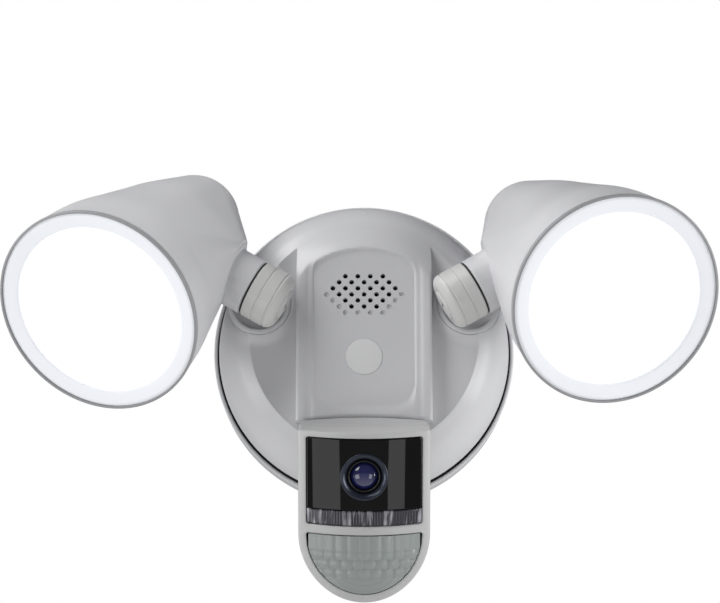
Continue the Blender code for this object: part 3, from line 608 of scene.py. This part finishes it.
LAST_DIMPLES = (6, 4)          # the last row, which has dimples only, and its count
DIMPLE_DEPTH = 1.1
PLUG_Z = -9.8
PLUG_R = 7.75
PLUG_GAP = 0.06
PLUG_DEPTH = 4.6
WELL_WALL = 2.2
WELL_FRONT = 2.2               # depths behind the column's front: start of the well's tube, floor, rear
WELL_FLOOR = 9.7
WELL_REAR = 12.0
SCREW_BORE_R = 3.0
HINGE = (0.0, -60.0, -41.82)
LUG_R = 2.8
LUG_X = (14.4, 20.0)
WEB_HALF = 1.5
WEB_LENGTH = 11.0
PIN_R = 1.5
PIN_REACH = 30.0


def dome_height(radius):
    if radius <= FLAT_R:
        return FLAT
    return blend_line(((FLAT_R, FLAT),) + SKIRT + ((COVER_R, COVER_REAR),), radius)


def forehead_height(radius):
    """The slope that runs from the column's front, above the panel, and sinks just under the dome."""
    if radius <= FOREHEAD_R:
        return COLUMN
    return blend_line(FOREHEAD, radius) - FOREHEAD_SINK * smooth(radius, FLAT_R + 0.8, FLAT_R + 3.0)


def round_outwards(first, second, softness):
    """The larger of two distances, rounded where they meet."""
    reach = max(softness - abs(first - second), 0) / softness
    return max(first, second) + reach * reach * softness * 0.25


def panel_distance(x, z):
    """How far a point lies outside the sunk speaker panel."""
    side = abs(x) - PANEL_HALF
    upper = math.hypot(x, max(z, 0)) - FOREHEAD_R
    shape = round_outwards(side, upper, PANEL_SHOULDER)
    return round_outwards(shape, PANEL_LOW - z, PANEL_CORNER)


def edge_drop(distance, width, drop):
    """How far a surface falls towards an edge, over a width; the distance is counted inwards."""
    return drop * max((width - distance) / width, 0) ** 2


def column_height(x, z):
    """Height of the column's front off the wall, with its rails, forehead and sunk panel."""
    side = abs(x)
    rail = (side - (COLUMN_HALF - RAIL_WIDTH / 2)) / (RAIL_WIDTH / 2)
    crown = RAIL_CROWN * (1 - rail * rail) if abs(rail) < 1 else 0.0
    trough = TROUGH * smooth(side, *TROUGH_INNER) * (1 - smooth(side, *TROUGH_OUTER))
    height = COLUMN + crown - trough - edge_drop(COLUMN_HALF - side, *RAIL_EDGE)
    height = -round_outwards(-height, -forehead_height(math.hypot(x, max(z, 0))), FOREHEAD_BLEND)
    softness = PANEL_EDGE + PANEL_EDGE_LOW * smooth(-z, *PANEL_EDGE_SPAN)
    sink = PANEL_SINK * (1 - smooth(panel_distance(x, z), -softness, 0.3))
    return height - sink - edge_drop(z - shelf_edge(x), *SHELF_ROUND)


def shelf_edge(x):
    """The column's lower edge, arched over the pod."""
    return SHELF_MIDDLE + (SHELF_SIDE - SHELF_MIDDLE) * (x / COLUMN_HALF) ** 2


def crowded(t):
    """Even steps, drawn closer together near both ends."""
    return t - CROWDING * math.sin(2 * math.pi * t)


def column_solid(name, inset):
    half = COLUMN_HALF - inset
    top = COLUMN_TOP - inset

    def point(u, v):
        x = half * (2 * crowded(u) - 1)
        low = shelf_edge(x) + inset
        z = low + (top - low) * crowded(v)
        return x, z, column_height(x, z) - inset * COLUMN_WALL

    return sheet(name, *COLUMN_GRID, point, COLUMN_REAR, FRONT)


def flare(x, z):
    """The dome rises in a fillet around each arm's cup."""
    away = min(math.hypot(x - side * CUP_AT[0], z - CUP_AT[1]) for side in (-1, 1))
    return FLARE_RISE * (1 - smooth(away, CUP_R, CUP_R + FLARE_REACH)) ** FLARE_POWER


def dome_solid(name, inset, rear):
    radius = COVER_R - inset
    profile = [(0, FLAT - inset)] + [(r - inset, dome_height(r) - inset) for r in DOME_RINGS if r > inset + 1]
    profile += [(radius, COVER_REAR + RIM_TALL), (radius - RIM_DRAFT, rear), (0, rear)]
    dome = turned(name, profile, FRONT, ROUND_STEPS)
    if not inset:
        for vertex in dome.data.vertices:
            x, z, height = (c / MM for c in vertex.co)
            if height > COLUMN_REAR:
                vertex.co.z += flare(x, z) * MM
    return dome


def grille_row(row, count):
    """Evenly spaced places for a row of holes, counted down from row 0."""
    z = GRILLE_Z + (GRILLE_MIDDLE - row) * ROW_PITCH
    return [((k - (count - 1) / 2) * HOLE_PITCH, z) for k in range(count)]


def drills(name, places, low, high):
    """A cutter of equal upright cylinders for the grille."""
    return merge(name, [rod(f"{name}_{k}", HOLE_R, low, high, front_at(x, z), HOLE_STEPS)
                        for k, (x, z) in enumerate(places)])


def merge(name, pieces):
    """One object from several separate closed pieces."""
    bm = bmesh.new()
    for piece in pieces:
        piece.data.transform(piece.matrix_world)
        bm.from_mesh(piece.data)
        bpy.data.objects.remove(piece, do_unlink=True)
    bmesh.ops.scale(bm, vec=(1 / MM,) * 3, verts=bm.verts)
    return mesh_object(name, bm)


def build_grille(cover):
    """The open speaker holes, and the shallow dimples at the ends of their rows."""
    panel = COLUMN - PANEL_SINK
    holes = [spot for row, count in enumerate(OPEN_ROWS) for spot in grille_row(row, count)]
    dimples = [spot for row, count in DIMPLE_ENDS.items() for spot in grille_row(row, count)[::count - 1]]
    dimples += grille_row(*LAST_DIMPLES)
    cut(cover, drills("grille_holes", holes, panel - HOLE_DEPTH, panel + PAST))
    cut(cover, drills("grille_dimples", dimples, panel - DIMPLE_DEPTH, panel + PAST))


def build_cover():
    cover = dome_solid("front_cover", 0, COVER_REAR)
    join(cover, column_solid("column_front", 0))
    cut(cover, dome_solid("dome_inside", SHELL, COVER_REAR - 1))
    cut(cover, column_solid("column_inside", SHELL))
    plug_frame = front_at(0, PLUG_Z)
    join(cover, rod("well_wall", PLUG_R + WELL_WALL, COLUMN - WELL_REAR, COLUMN - WELL_FRONT, plug_frame))
    cut(cover, rod("plug_well", PLUG_R + PLUG_GAP, COLUMN - WELL_FLOOR, COLUMN + PAST, plug_frame, 96))
    cut(cover, rod("screw_bore", SCREW_BORE_R, COLUMN - WELL_REAR - PAST, COLUMN - WELL_REAR + 4, plug_frame))
    build_grille(cover)
    hinge = Matrix.Translation(Vector(HINGE) * MM)
    for side in (-1, 1):
        cup_frame = front_at(side * CUP_AT[0], CUP_AT[1])
        cut(cover, rod(f"cup_hole_{side}", CUP_R + CUP_GAP, FLAT - 18, FLAT + 12, cup_frame, 96))
        low, high = sorted(side * x for x in LUG_X)
        web = block(f"hinge_web_{side}", (low, 0, -WEB_HALF), (high, WEB_LENGTH, WEB_HALF), hinge)
        join(cover, web)
        join(cover, rod(f"hinge_lug_{side}", LUG_R, low, high, hinge @ ACROSS, 48))
    cut(cover, rod("pin_hole", PIN_R + CLEARANCE, -PIN_REACH, PIN_REACH, hinge @ ACROSS, 32))
    dress(cover, "housing", "base", "front_cover", sharp=34)


def build_wall_plate():
    rim = rounded(PLATE_RIM, 0.7)
    plate = turned("wall_plate", rim + [(HUB_R, FLOOR_REAR), (HUB_R, FLOOR_FRONT)], FRONT, ROUND_STEPS,
                   ring=True)
    cut(plate, rod("hub_hole", HUB_R, 0, 14, front_at(0, PLUG_Z)),
        rod("supply_hole", SUPPLY_R, 0, 14, front_at(0, SUPPLY_Z)))
    for side in (-1, 1):
        cut(plate, rod(f"screw_hole_{side}", SCREW_HOLE_R, 0, 10, front_at(side * SCREW_X, SCREW_Z), 32))
    dress(plate, "housing", "base", "wall_plate")
    front = COLUMN - PANEL_SINK
    face = rounded([(0, front), (PLUG_R, front), (PLUG_R, front - PLUG_DEPTH), (0, front - PLUG_DEPTH)], 0.35)
    dress(turned("screw_plug", face, front_at(0, PLUG_Z), 96), "plug", "base", "screw_plug")
    seal = turned("cover_seal", rounded(SEAL_LOOP + SEAL_LOOP[:1], 0.1)[:-1], FRONT, ROUND_STEPS, ring=True)
    dress(seal, "rubber", "base", "cover_seal")


# --- arms and lamps --------------------------------------------------------------------------------------
# Profiles of the cup and stem start at the dome's flat front, those of the barrel at its centre and those of
# the lamp at its face.
SWIVEL_IN = 4.0
CUP_LOOP = [(CUP_R - 1.9, CUP_LIP), (CUP_R - 0.7, CUP_LIP), (CUP_R, CUP_LIP - 0.7), (CUP_R, -14.0), (0, -14.0),
            (0, -1.0), (11.2, -1.0), (12.4, 0.2), (12.4, CUP_LIP - 0.6)]
STEM_R = 6.3
WIRE_BORE_R = 3.4
BARREL_OFFSET = 18.5
BARREL_RISE = 29.4
BARREL_R = 12.4
BARREL_IN = 8.3
BARREL_OUT = 6.0
BARREL_END_R = 4.0
GROOVE = 0.35
BARREL_SIDE = [(BARREL_R, BARREL_OUT - 0.5), (BARREL_R, 1.6), (BARREL_R - GROOVE, 1.3),
               (BARREL_R - GROOVE, 0.9), (BARREL_R, 0.6), (BARREL_R, 4.4 - BARREL_IN),
               (BARREL_R - GROOVE, 4.1 - BARREL_IN), (BARREL_R - GROOVE, 3.7 - BARREL_IN),
               (BARREL_R - 0.05, 3.4 - BARREL_IN)]
STEM_PROFILE = [(0, BARREL_OFFSET - 4), (STEM_R + 1.6, BARREL_OFFSET - 6),
                (STEM_R - 0.1, BARREL_OFFSET - 10.5), (STEM_R - 0.7, 5.0), (STEM_R, 4.0),
                (STEM_R, -15.5), (0, -15.5)]
KNUCKLE_BORE_R = 5.0
CAP_R = 7.0
CAP_PROFILE = [(0, 2.3 - BARREL_IN), (CAP_R - CLEARANCE, 2.3 - BARREL_IN),
               (CAP_R - CLEARANCE, -BARREL_IN - 0.3), (CAP_R - 2.0, -0.9 - BARREL_IN),
               (0, -0.9 - BARREL_IN)]
SLOT_LONG = 7.2
SLOT_WIDE = 1.4
FACE_AT = {"left": (-109.5, -89.6, 3.2), "right": (101.9, -102.7, 5.2)}
FACE_AIM = {"left": (-0.321, -0.757, -0.568), "right": (0.242, -0.837, -0.491)}
FACE_STEPS = 160
LAMP_R = 44.2
LAMP_DEPTH = 95.0
BODY = ((1.6, 44.0), (20.0, 41.4), (40.0, 35.2), (60.0, 29.4), (86.0, 19.5))  # depth and radius
RIM_ROUND = 0.35
REAR_ROUND = 9.0
LEAN = (12.4, 8.2)             # inboard and up, at the rear end
LEAN_POWER = 1.3
SEAM_END = 6.9
NECK_R = 17.0
NECK_PROFILE = [(0, 32), (NECK_R - 2.0, 32), (NECK_R - 1.6, 20.0), (NECK_R - 2.2, 18.2), (BARREL_R + 0.5, 17.6),
                (BARREL_R, 16.4), (BARREL_R, SEAM_END + 0.5), (BARREL_R - 0.5, SEAM_END), (0, SEAM_END)]
FLANGE = ((NECK_R, 23.0), (NECK_R, 20.2), (NECK_R - 0.25, 19.4), (NECK_R - 0.8, 18.8))
BLEND_DEPTH = 18.0
BLEND_INSET = 0.12
BLEND_STEPS = 96
LENS_EDGE = 43.2
LENS_REAR = -3.6
LIT_R = 36.0                   # the lit disc inside the paler ring, whose glow is painted light
LIT_EDGE = -1.6
LENS_ARC = 12                  # degrees of the disc's shallow dome
LENS_SWELL = 0.48 / 0.022      # its rise, for each unit of cosine
BEZEL_LOOP = [(LAMP_R - 0.9, 0.6), (LAMP_R, 0.5), (LAMP_R, -1.3), (LENS_EDGE + 0.1, -1.3),
              (LENS_EDGE + 0.1, 0.0), (LENS_EDGE + 0.3, 0.6)]
LENS_RING_LOOP = [(LIT_R, -1.9), (36.7, -0.7), (LENS_EDGE - 1.2, -0.05), (LENS_EDGE, -0.5), (LENS_EDGE, -1.1),
                  (40.4, -1.4), (40.4, LENS_REAR), (LIT_R, LENS_REAR)]


def build_arm(side, name):
    """Cup on the base, the swivelling barrel and its cap; returns the barrel's frame."""
    swivel_x = side * (CUP_AT[0] - SWIVEL_IN)
    collar = turned(f"collar_{name}", rounded(CUP_LOOP, 0.6, 3),
                    axis_frame((side * CUP_AT[0], -FLAT, CUP_AT[1]), (0, -1, 0)), 96, ring=True)
    swivel_frame = axis_frame((swivel_x, -FLAT, CUP_AT[1]), (0, -1, 0))
    cut(collar, rod(f"stem_hole_{name}", STEM_R + CLEARANCE, -20, 10, swivel_frame))
    dress(collar, "housing", "base", f"collar_{name}")

    rise = math.radians(BARREL_RISE)
    centre = (swivel_x, -FLAT - BARREL_OFFSET, CUP_AT[1])
    barrel_frame = axis_frame(centre, (side * math.cos(rise), 0, math.sin(rise)))
    end = arc((BARREL_R - BARREL_END_R, 3.9 - BARREL_IN), BARREL_END_R, 0, -90, 10)[1:]
    profile = [(0, BARREL_OUT), (BARREL_R - 0.5, BARREL_OUT)] + BARREL_SIDE + end + [(0, -BARREL_IN)]
    barrel = turned(f"knuckle_{name}", profile, barrel_frame, 128)
    join(barrel, turned(f"knuckle_stem_{name}", STEM_PROFILE, swivel_frame, 96))
    cut(barrel, rod(f"knuckle_bore_{name}", KNUCKLE_BORE_R, 4.5 - BARREL_IN, 20, barrel_frame))
    cut(barrel, rod(f"stem_bore_{name}", WIRE_BORE_R, -18, BARREL_OFFSET - 3, swivel_frame, 48))
    cut(barrel, rod(f"cap_seat_{name}", CAP_R, -14, 2.6 - BARREL_IN, barrel_frame, 96))
    dress(barrel, "housing", f"arm_{name}", f"knuckle_{name}", finish="arm_plastic")

    knob = turned(f"knuckle_cap_{name}", rounded(CAP_PROFILE, 0.8), barrel_frame, 96)
    slot_low = (-SLOT_LONG / 2, -SLOT_WIDE / 2, -14)
    slot_high = (SLOT_LONG / 2, SLOT_WIDE / 2, 0.6 - BARREL_IN)
    cut(knob, block(f"cap_slot_{name}", slot_low, slot_high, barrel_frame))
    dress(knob, "housing", f"arm_{name}", f"knuckle_cap_{name}", finish="arm_plastic")
    return barrel_frame


def lamp_centre(side, depth):
    """Centre of the housing's round section at a depth: it leans inboard and upwards."""
    inboard, up = (lean * (max(depth, 0) / LAMP_DEPTH) ** LEAN_POWER for lean in LEAN)
    return -side * inboard, up, -depth


def lamp_loft(name, side, sections, matrix, steps=128):
    """Circles about the housing's leaning centre line; a zero radius closes an end."""
    loops = []
    for depth, radius in sections:
        x, y, z = lamp_centre(side, depth)
        loops.append([(a, b, z) for a, b in circle(radius, steps, x, y)] if radius else [(x, y, z)])
    return stack(name, loops, matrix)


def body_line(inset, first, count=36):
    """(depth, radius) down the housing's side to its rounded rear."""
    rear_depth, rear_r = BODY[-1]
    depths = [first + (rear_depth - first) * k / count for k in range(count + 1)]
    line = [(d, blend_line(BODY, d) - inset) for d in depths]
    slope = (rear_r - BODY[-2][1]) / (rear_depth - BODY[-2][0])
    start = Vector((rear_depth, rear_r - inset))
    corner = Vector((LAMP_DEPTH - inset, rear_r - inset + slope * (LAMP_DEPTH - inset - rear_depth)))
    return line + round_over(start, corner, corner - Vector((0, REAR_ROUND)), 12)[1:]


def neck_blend(name, side, matrix, barrel_frame):
    """The hull between the neck's flange and the rear of the housing."""
    bm = bmesh.new()
    spots = []
    for depth, radius in body_line(BLEND_INSET, BODY[0][0]):
        if depth > BLEND_DEPTH:
            x, y, z = lamp_centre(side, depth)
            spots += [(matrix, a, b, z) for a, b in circle(radius, BLEND_STEPS, x, y)]
    for radius, height in FLANGE:
        spots += [(barrel_frame, a, b, height) for a, b in circle(radius, BLEND_STEPS)]
    for place, x, y, z in spots:
        bm.verts.new((place @ (Vector((x, y, z)) * MM)) / MM)
    made = bmesh.ops.convex_hull(bm, input=bm.verts)
    bmesh.ops.delete(bm, geom=made["geom_interior"], context="VERTS")
    return mesh_object(name, bm)


def build_lamp(side, name, barrel_frame):
    body = f"lamp_{name}"
    matrix = axis_frame(FACE_AT[name], FACE_AIM[name])
    line = body_line(0, BODY[0][0])
    rim_depth, rim_r = line[0]
    outside = [(rim_depth, 0), (rim_depth, rim_r - RIM_ROUND), (rim_depth + RIM_ROUND, rim_r)]
    outside += line[1:] + [(line[-1][0], 0)]
    housing = lamp_loft(f"lamp_housing_{name}", side, outside, matrix)
    join(housing, neck_blend(f"neck_blend_{name}", side, matrix, barrel_frame))
    join(housing, turned(f"neck_{name}", NECK_PROFILE, barrel_frame, 128))
    inner = [(-2.0, 0), (-2.0, LAMP_R - SHELL)] + body_line(SHELL, BODY[0][0])[:-1]
    cut(housing, lamp_loft(f"lamp_hollow_{name}", side, inner + [(inner[-1][0], 0)], matrix))
    cut(housing, rod(f"neck_bore_{name}", WIRE_BORE_R, -6, 50, barrel_frame, 48))
    dress(housing, "housing", body, f"lamp_housing_{name}", sharp=40)

    bezel = turned(f"lamp_bezel_{name}", rounded(BEZEL_LOOP, 0.35), matrix, FACE_STEPS, ring=True)
    dress(bezel, "housing", body, f"lamp_bezel_{name}", finish="lamp_rim")
    # this ring is no lamp; its glow is painted light from the lamp beside it
    ring = turned(f"lens_ring_{name}", rounded(LENS_RING_LOOP, 0.5), matrix, FACE_STEPS, ring=True)
    dress(ring, "diffuser", body, finish="lens_rim_painted_glow")
    edge_angle = math.radians(LENS_ARC)
    dome = []
    for angle in [math.radians(degrees) for degrees in range(0, LENS_ARC + 1, 2)]:
        dome.append((LIT_R * math.sin(angle) / math.sin(edge_angle),
                     LIT_EDGE + LENS_SWELL * (math.cos(angle) - math.cos(edge_angle))))
    disc = turned(f"lamp_lens_{name}", dome + [(LIT_R, LENS_REAR), (0, LENS_REAR)], matrix, FACE_STEPS)
    dress(disc, "diffuser", body, f"lamp_lens_{name}")


# --- camera pod ------------------------------------------------------------------------------------------
# Heights are counted forwards from the hinge, those of the camera lens from the pod's front. WINDOW_TOP,
# WINDOW_LOW, STRIP_LOW and PIR_TOP are counted down from the pod's upper edge.
POD_TILT = 20.0
POD = Matrix.Translation(Vector(HINGE) * MM) @ Matrix.Rotation(math.radians(POD_TILT), 4, "X") @ FRONT
POD_TOP = 5.0
POD_HALF = 27.2
POD_FRONT = 28.0
POD_REAR = 6.0
POD_SPLIT = 11.0
POD_BEVEL = 0.9
POD_ROUND_Y = -39.0
CURVE_R = 50.0
CURVE_CENTRE = POD_FRONT - CURVE_R
CROWN_MIDDLE = 5.7             # radius of the rounded hinge edge, in the middle and at the sides
CROWN_SIDE = 4.35
CROWN_INSET = 0.4
CROWN_END = 0.35
CROWN_SQUARE = 60              # the higher, the squarer its two ends
CROWN_STEPS = 48
WINDOW_HALF = 23.6
WINDOW_TOP = 3.0
WINDOW_LOW = 32.5
WINDOW_SINK = 0.3
WINDOW_THICK = 1.9
WINDOW_BEVEL = 0.25
STRIP_LOW = 39.0
STRIP_GAP = 0.3
STRIP_SINK = 0.5
STRIP_WALL = 2.4
STRIP_EDGE = (0.06, 0.35)      # width, as a share of the strip's height, and drop of its rounded edges
STRIP_GRID = (330, 24)
RIB_PITCH = 1.15
RIB_HEIGHT = 0.12
LENS_Y = POD_TOP - 18.5
LENS_R = 9.8
LENS_GAP = 0.12
LENS_RIM = [(8.1, -0.4), (8.9, 0.25), (LENS_R, 0.1), (LENS_R, -4.5), (7.2, -4.5), (7.2, -2.0), (7.9, -0.6)]
LENS_BARREL = [(5.9, -2.0), (6.3, -1.5), (6.9, -2.0), (6.9, -13.0), (4.0, -13.0), (4.0, -4.8), (5.9, -4.8)]
GLASS_R = 5.8
GLASS_EDGE = -4.0
GLASS_RISE = 3.4
GLASS_REAR = -4.5
PIR_TOP = 43.3
PIR_GAP = 0.02
PIR_SINK = 0.25
PIR_WALL = 1.8
PIR_CURVE_IN = 0.35            # how much tighter the lens curves than the pod's front
PIR_GRID = (150, 118)
PIR_CELL = 4.7                 # width of the facets and of the honeycomb's cells
PIR_TALL = 6.4                 # height of the facets
PIR_ROW = 3.7                  # height and count of the honeycomb's rows
PIR_ROWS = 3
PIR_ARCS_FROM = 6.0
ARC_PITCH = 2.4
FACET_BULGE = 0.26
CELL_BULGE = 0.36
ARC_BULGE = 0.12


def front_line(x, radius=CURVE_R):
    """Height of the pod's curved front at a distance from its middle."""
    return CURVE_CENTRE + math.sqrt(radius ** 2 - x ** 2)


def top_corners(half, top, corner, count):
    """The two rounded upper corners of an outline."""
    return (arc((half - corner, top - corner), corner, 0, 90, count)
            + arc((corner - half, top - corner), corner, 90, 180, count))


def pod_outline(inset):
    half = POD_HALF - inset
    corners = top_corners(half, POD_TOP - inset - 0.2, max(1.5 - inset, 0.3), 6)
    return corners + arc((0, POD_ROUND_Y), half, 180, 360, 73)


def pir_outline(inset):
    half = WINDOW_HALF - inset
    corners = top_corners(half, POD_TOP - PIR_TOP - inset, 1.0, 5)
    return corners + arc((0, POD_ROUND_Y), half, 190, 350, 57)


def window_outline(grow, top, low, corner):
    return rounded_box(WINDOW_HALF + grow, POD_TOP - low - grow, POD_TOP - top + grow, corner, 6)


def bend(obj, pitch, cuts, still=None):
    """Slice a flat piece into strips of a pitch and bend it to the curved front.

    The bend grows in from the height called still, below which the piece stays flat.
    """
    bm = bmesh.new()
    bm.from_mesh(obj.data)
    for k in range(-cuts, cuts + 1):
        everything = bm.verts[:] + bm.edges[:] + bm.faces[:]
        bmesh.ops.bisect_plane(bm, geom=everything, plane_co=(k * pitch * MM, 0, 0), plane_no=(1, 0, 0),
                               dist=1e-7)
    for vertex in bm.verts:
        share = 1.0
        if still is not None:
            share = max((vertex.co.z / MM - still) / (POD_FRONT - still), 0)
        vertex.co.z -= (POD_FRONT - front_line(vertex.co.x / MM)) * share * MM
    bm.to_mesh(obj.data)
    bm.free()


def build_bezel():
    outlines = [pod_outline(0), window_outline(CLEARANCE, WINDOW_TOP, STRIP_LOW, 1.3), pir_outline(-CLEARANCE)]
    bezel = prism("pod_bezel", outlines, POD_SPLIT, POD_FRONT, POD, POD_BEVEL)
    bend(bezel, 1.6, 17, POD_SPLIT + 1.0)
    dress(bezel, "housing", "camera_pod", "pod_bezel", sharp=50, finish="pod_plastic")


def crown_loop(x):
    """Section of the pod's rounded hinge edge: its roll about the pin and a foot inside the rear shell."""
    half = POD_HALF - CROWN_INSET
    radius = CROWN_MIDDLE + (CROWN_SIDE - CROWN_MIDDLE) * (x / half) ** 2
    radius *= math.sqrt(max(1 - (abs(x) / (half + CROWN_END)) ** CROWN_SQUARE, 0.0))
    loop = [(-2.0, POD_REAR + 1.0), (radius - 0.9, POD_REAR + 1.0), (radius - 0.1, POD_REAR - 2.0)]
    for angle in [math.radians(degrees) for degrees in range(0, -181, -9)]:
        loop.append((radius * math.cos(angle), radius * math.sin(angle)))
    return [(x, y, z) for y, z in loop + [(-radius, 2.0)]]


def build_rear_shell():
    shell = prism("pod_rear_shell", [pod_outline(0)], POD_REAR, POD_SPLIT - 0.12, POD, POD_BEVEL)
    cut(shell, prism("rear_hollow", [pod_outline(SHELL)], POD_REAR + SHELL, POD_SPLIT + PAST, POD, 0.0))
    half = POD_HALF - CROWN_INSET
    loops = [crown_loop(half * (2 * k / CROWN_STEPS - 1)) for k in range(CROWN_STEPS + 1)]
    join(shell, stack("pod_crown", loops, POD, caps=True))
    for side in (-1, 1):
        low, high = sorted((side * (LUG_X[0] - CLEARANCE), side * (LUG_X[1] + CLEARANCE)))
        cut(shell, rod(f"lug_room_{side}", LUG_R + 0.6, low, high, POD @ ACROSS, 48))
        cut(shell, block(f"web_room_{side}", (low, -8.0, -8.0), (high, 2.2, 0.0), POD))
    cut(shell, rod("pod_pin_hole", PIN_R + CLEARANCE, -PIN_REACH, PIN_REACH, POD @ ACROSS, 32))
    dress(shell, "housing", "camera_pod", "pod_rear_shell", sharp=38, finish="pod_plastic")


def build_window():
    lens_at = POD @ Matrix.Translation(Vector((0, LENS_Y, POD_FRONT)) * MM)
    outline = window_outline(0, WINDOW_TOP, WINDOW_LOW, 1.0)
    face = POD_FRONT - WINDOW_SINK
    pane = prism("camera_window", [outline], face - WINDOW_THICK, face, POD, WINDOW_BEVEL)
    bend(pane, 0.8, 30)
    cut(pane, rod("lens_hole", LENS_R + LENS_GAP, -11, 9, lens_at, 96))
    dress(pane, "window", "camera_pod", "camera_window")
    ring = turned("lens_ring", rounded(LENS_RIM, 0.4), lens_at, 128, ring=True)
    dress(ring, "black", "camera_pod", "lens_ring", finish="lens_metal")
    barrel = turned("lens_barrel", rounded(LENS_BARREL, 0.2), lens_at, 96, ring=True)
    dress(barrel, "black", "camera_pod", "lens_barrel")
    dome = [(GLASS_R * math.sin(angle), GLASS_EDGE + GLASS_RISE * math.cos(angle))
            for angle in [math.radians(degrees) for degrees in range(0, 91, 5)]]
    glass = turned("lens_glass", dome + [(GLASS_R, GLASS_REAR), (0, GLASS_REAR)], lens_at, 96)
    dress(glass, "glass", "camera_pod", "lens_glass")


def build_strip():
    """The clear strip, with upright ribs moulded in its face."""
    low, high = POD_TOP - STRIP_LOW, POD_TOP - WINDOW_LOW - STRIP_GAP

    def ribbed(u, v):
        x = WINDOW_HALF * (2 * u - 1)
        ridge = RIB_HEIGHT * abs(math.sin(math.pi * x / RIB_PITCH))
        height = front_line(x, CURVE_R - STRIP_SINK) + ridge - edge_drop(min(v, 1 - v), *STRIP_EDGE)
        return x, low + (high - low) * v, height

    strip = sheet("light_strip", *STRIP_GRID, ribbed, POD_FRONT - 12, POD)
    cut(strip, curved_core("strip_core", CURVE_R - STRIP_WALL))
    dress(strip, "strip", "camera_pod", "light_strip", sharp=70)


def curved_core(name, radius):
    """A cylinder about the pod's upright axis, to hollow pieces of the curved front."""
    along = Matrix.Translation(Vector((0, 0, CURVE_CENTRE)) * MM) @ Matrix.Rotation(math.radians(-90), 4, "X")
    return rod(name, radius, -75, 20, POD @ along, 256)


def from_middle(value, pitch):
    """Distance to the middle of a repeated cell, from -0.5 to 0.5 of its pitch."""
    return (value / pitch) % 1 - 0.5


def relief(x, y):
    """Shallow zones of the motion sensor lens, each one a small bulge."""
    depth = POD_TOP - PIR_TOP - y
    if depth < PIR_TALL:
        across = from_middle(x + PIR_CELL / 2, PIR_CELL)
        return FACET_BULGE * (1 - 4 * across * across)
    row_depth = depth - PIR_TALL
    if row_depth < PIR_ROWS * PIR_ROW:
        shift = int(row_depth / PIR_ROW) % 2 * PIR_CELL / 2
        across = from_middle(x + shift + PIR_CELL / 2, PIR_CELL)
        down = from_middle(row_depth, PIR_ROW)
        return CELL_BULGE * (1 - 3.4 * across * across - 3.0 * down * down)
    out = from_middle(math.hypot(x, depth - PIR_ARCS_FROM), ARC_PITCH)
    return ARC_BULGE * (1 - 4 * out * out)


def build_pir():
    """The milky motion sensor lens: tall facets above, a honeycomb in the middle and arcs below."""
    top, low = POD_TOP - PIR_TOP, POD_ROUND_Y - WINDOW_HALF
    lens = prism("pir_lens", [pir_outline(PIR_GAP)], POD_FRONT - 6.0, POD_FRONT + 4.0, POD, 0.0)

    def over(u, v, past):
        """A place on the lens, on a grid that reaches past its outline."""
        return (WINDOW_HALF + past) * (2 * u - 1), low - past + (top - low + 2 * past) * v

    def face_point(u, v):
        x, y = over(u, v, 1.0)
        return x, y, front_line(x, CURVE_R - PIR_CURVE_IN) - PIR_SINK + relief(x, y)

    def back_point(u, v):
        x, y = over(u, v, 2.0)
        return x, y, front_line(x, CURVE_R - PIR_WALL)

    keep_inside(lens, sheet("pir_face", *PIR_GRID, face_point, POD_FRONT - 14, POD))
    cut(lens, sheet("pir_back", 48, 2, back_point, POD_FRONT - 20, POD))
    dress(lens, "fresnel", "camera_pod", "pir_lens", sharp=60)


build_camera()
build_studio()
MATERIALS = slot_materials()
dress_cad(MATERIALS)
build_cover()
build_wall_plate()
for arm_side, arm_name in ((-1, "left"), (1, "right")):
    build_lamp(arm_side, arm_name, build_arm(arm_side, arm_name))
build_bezel()
build_rear_shell()
build_window()
build_strip()
build_pir()
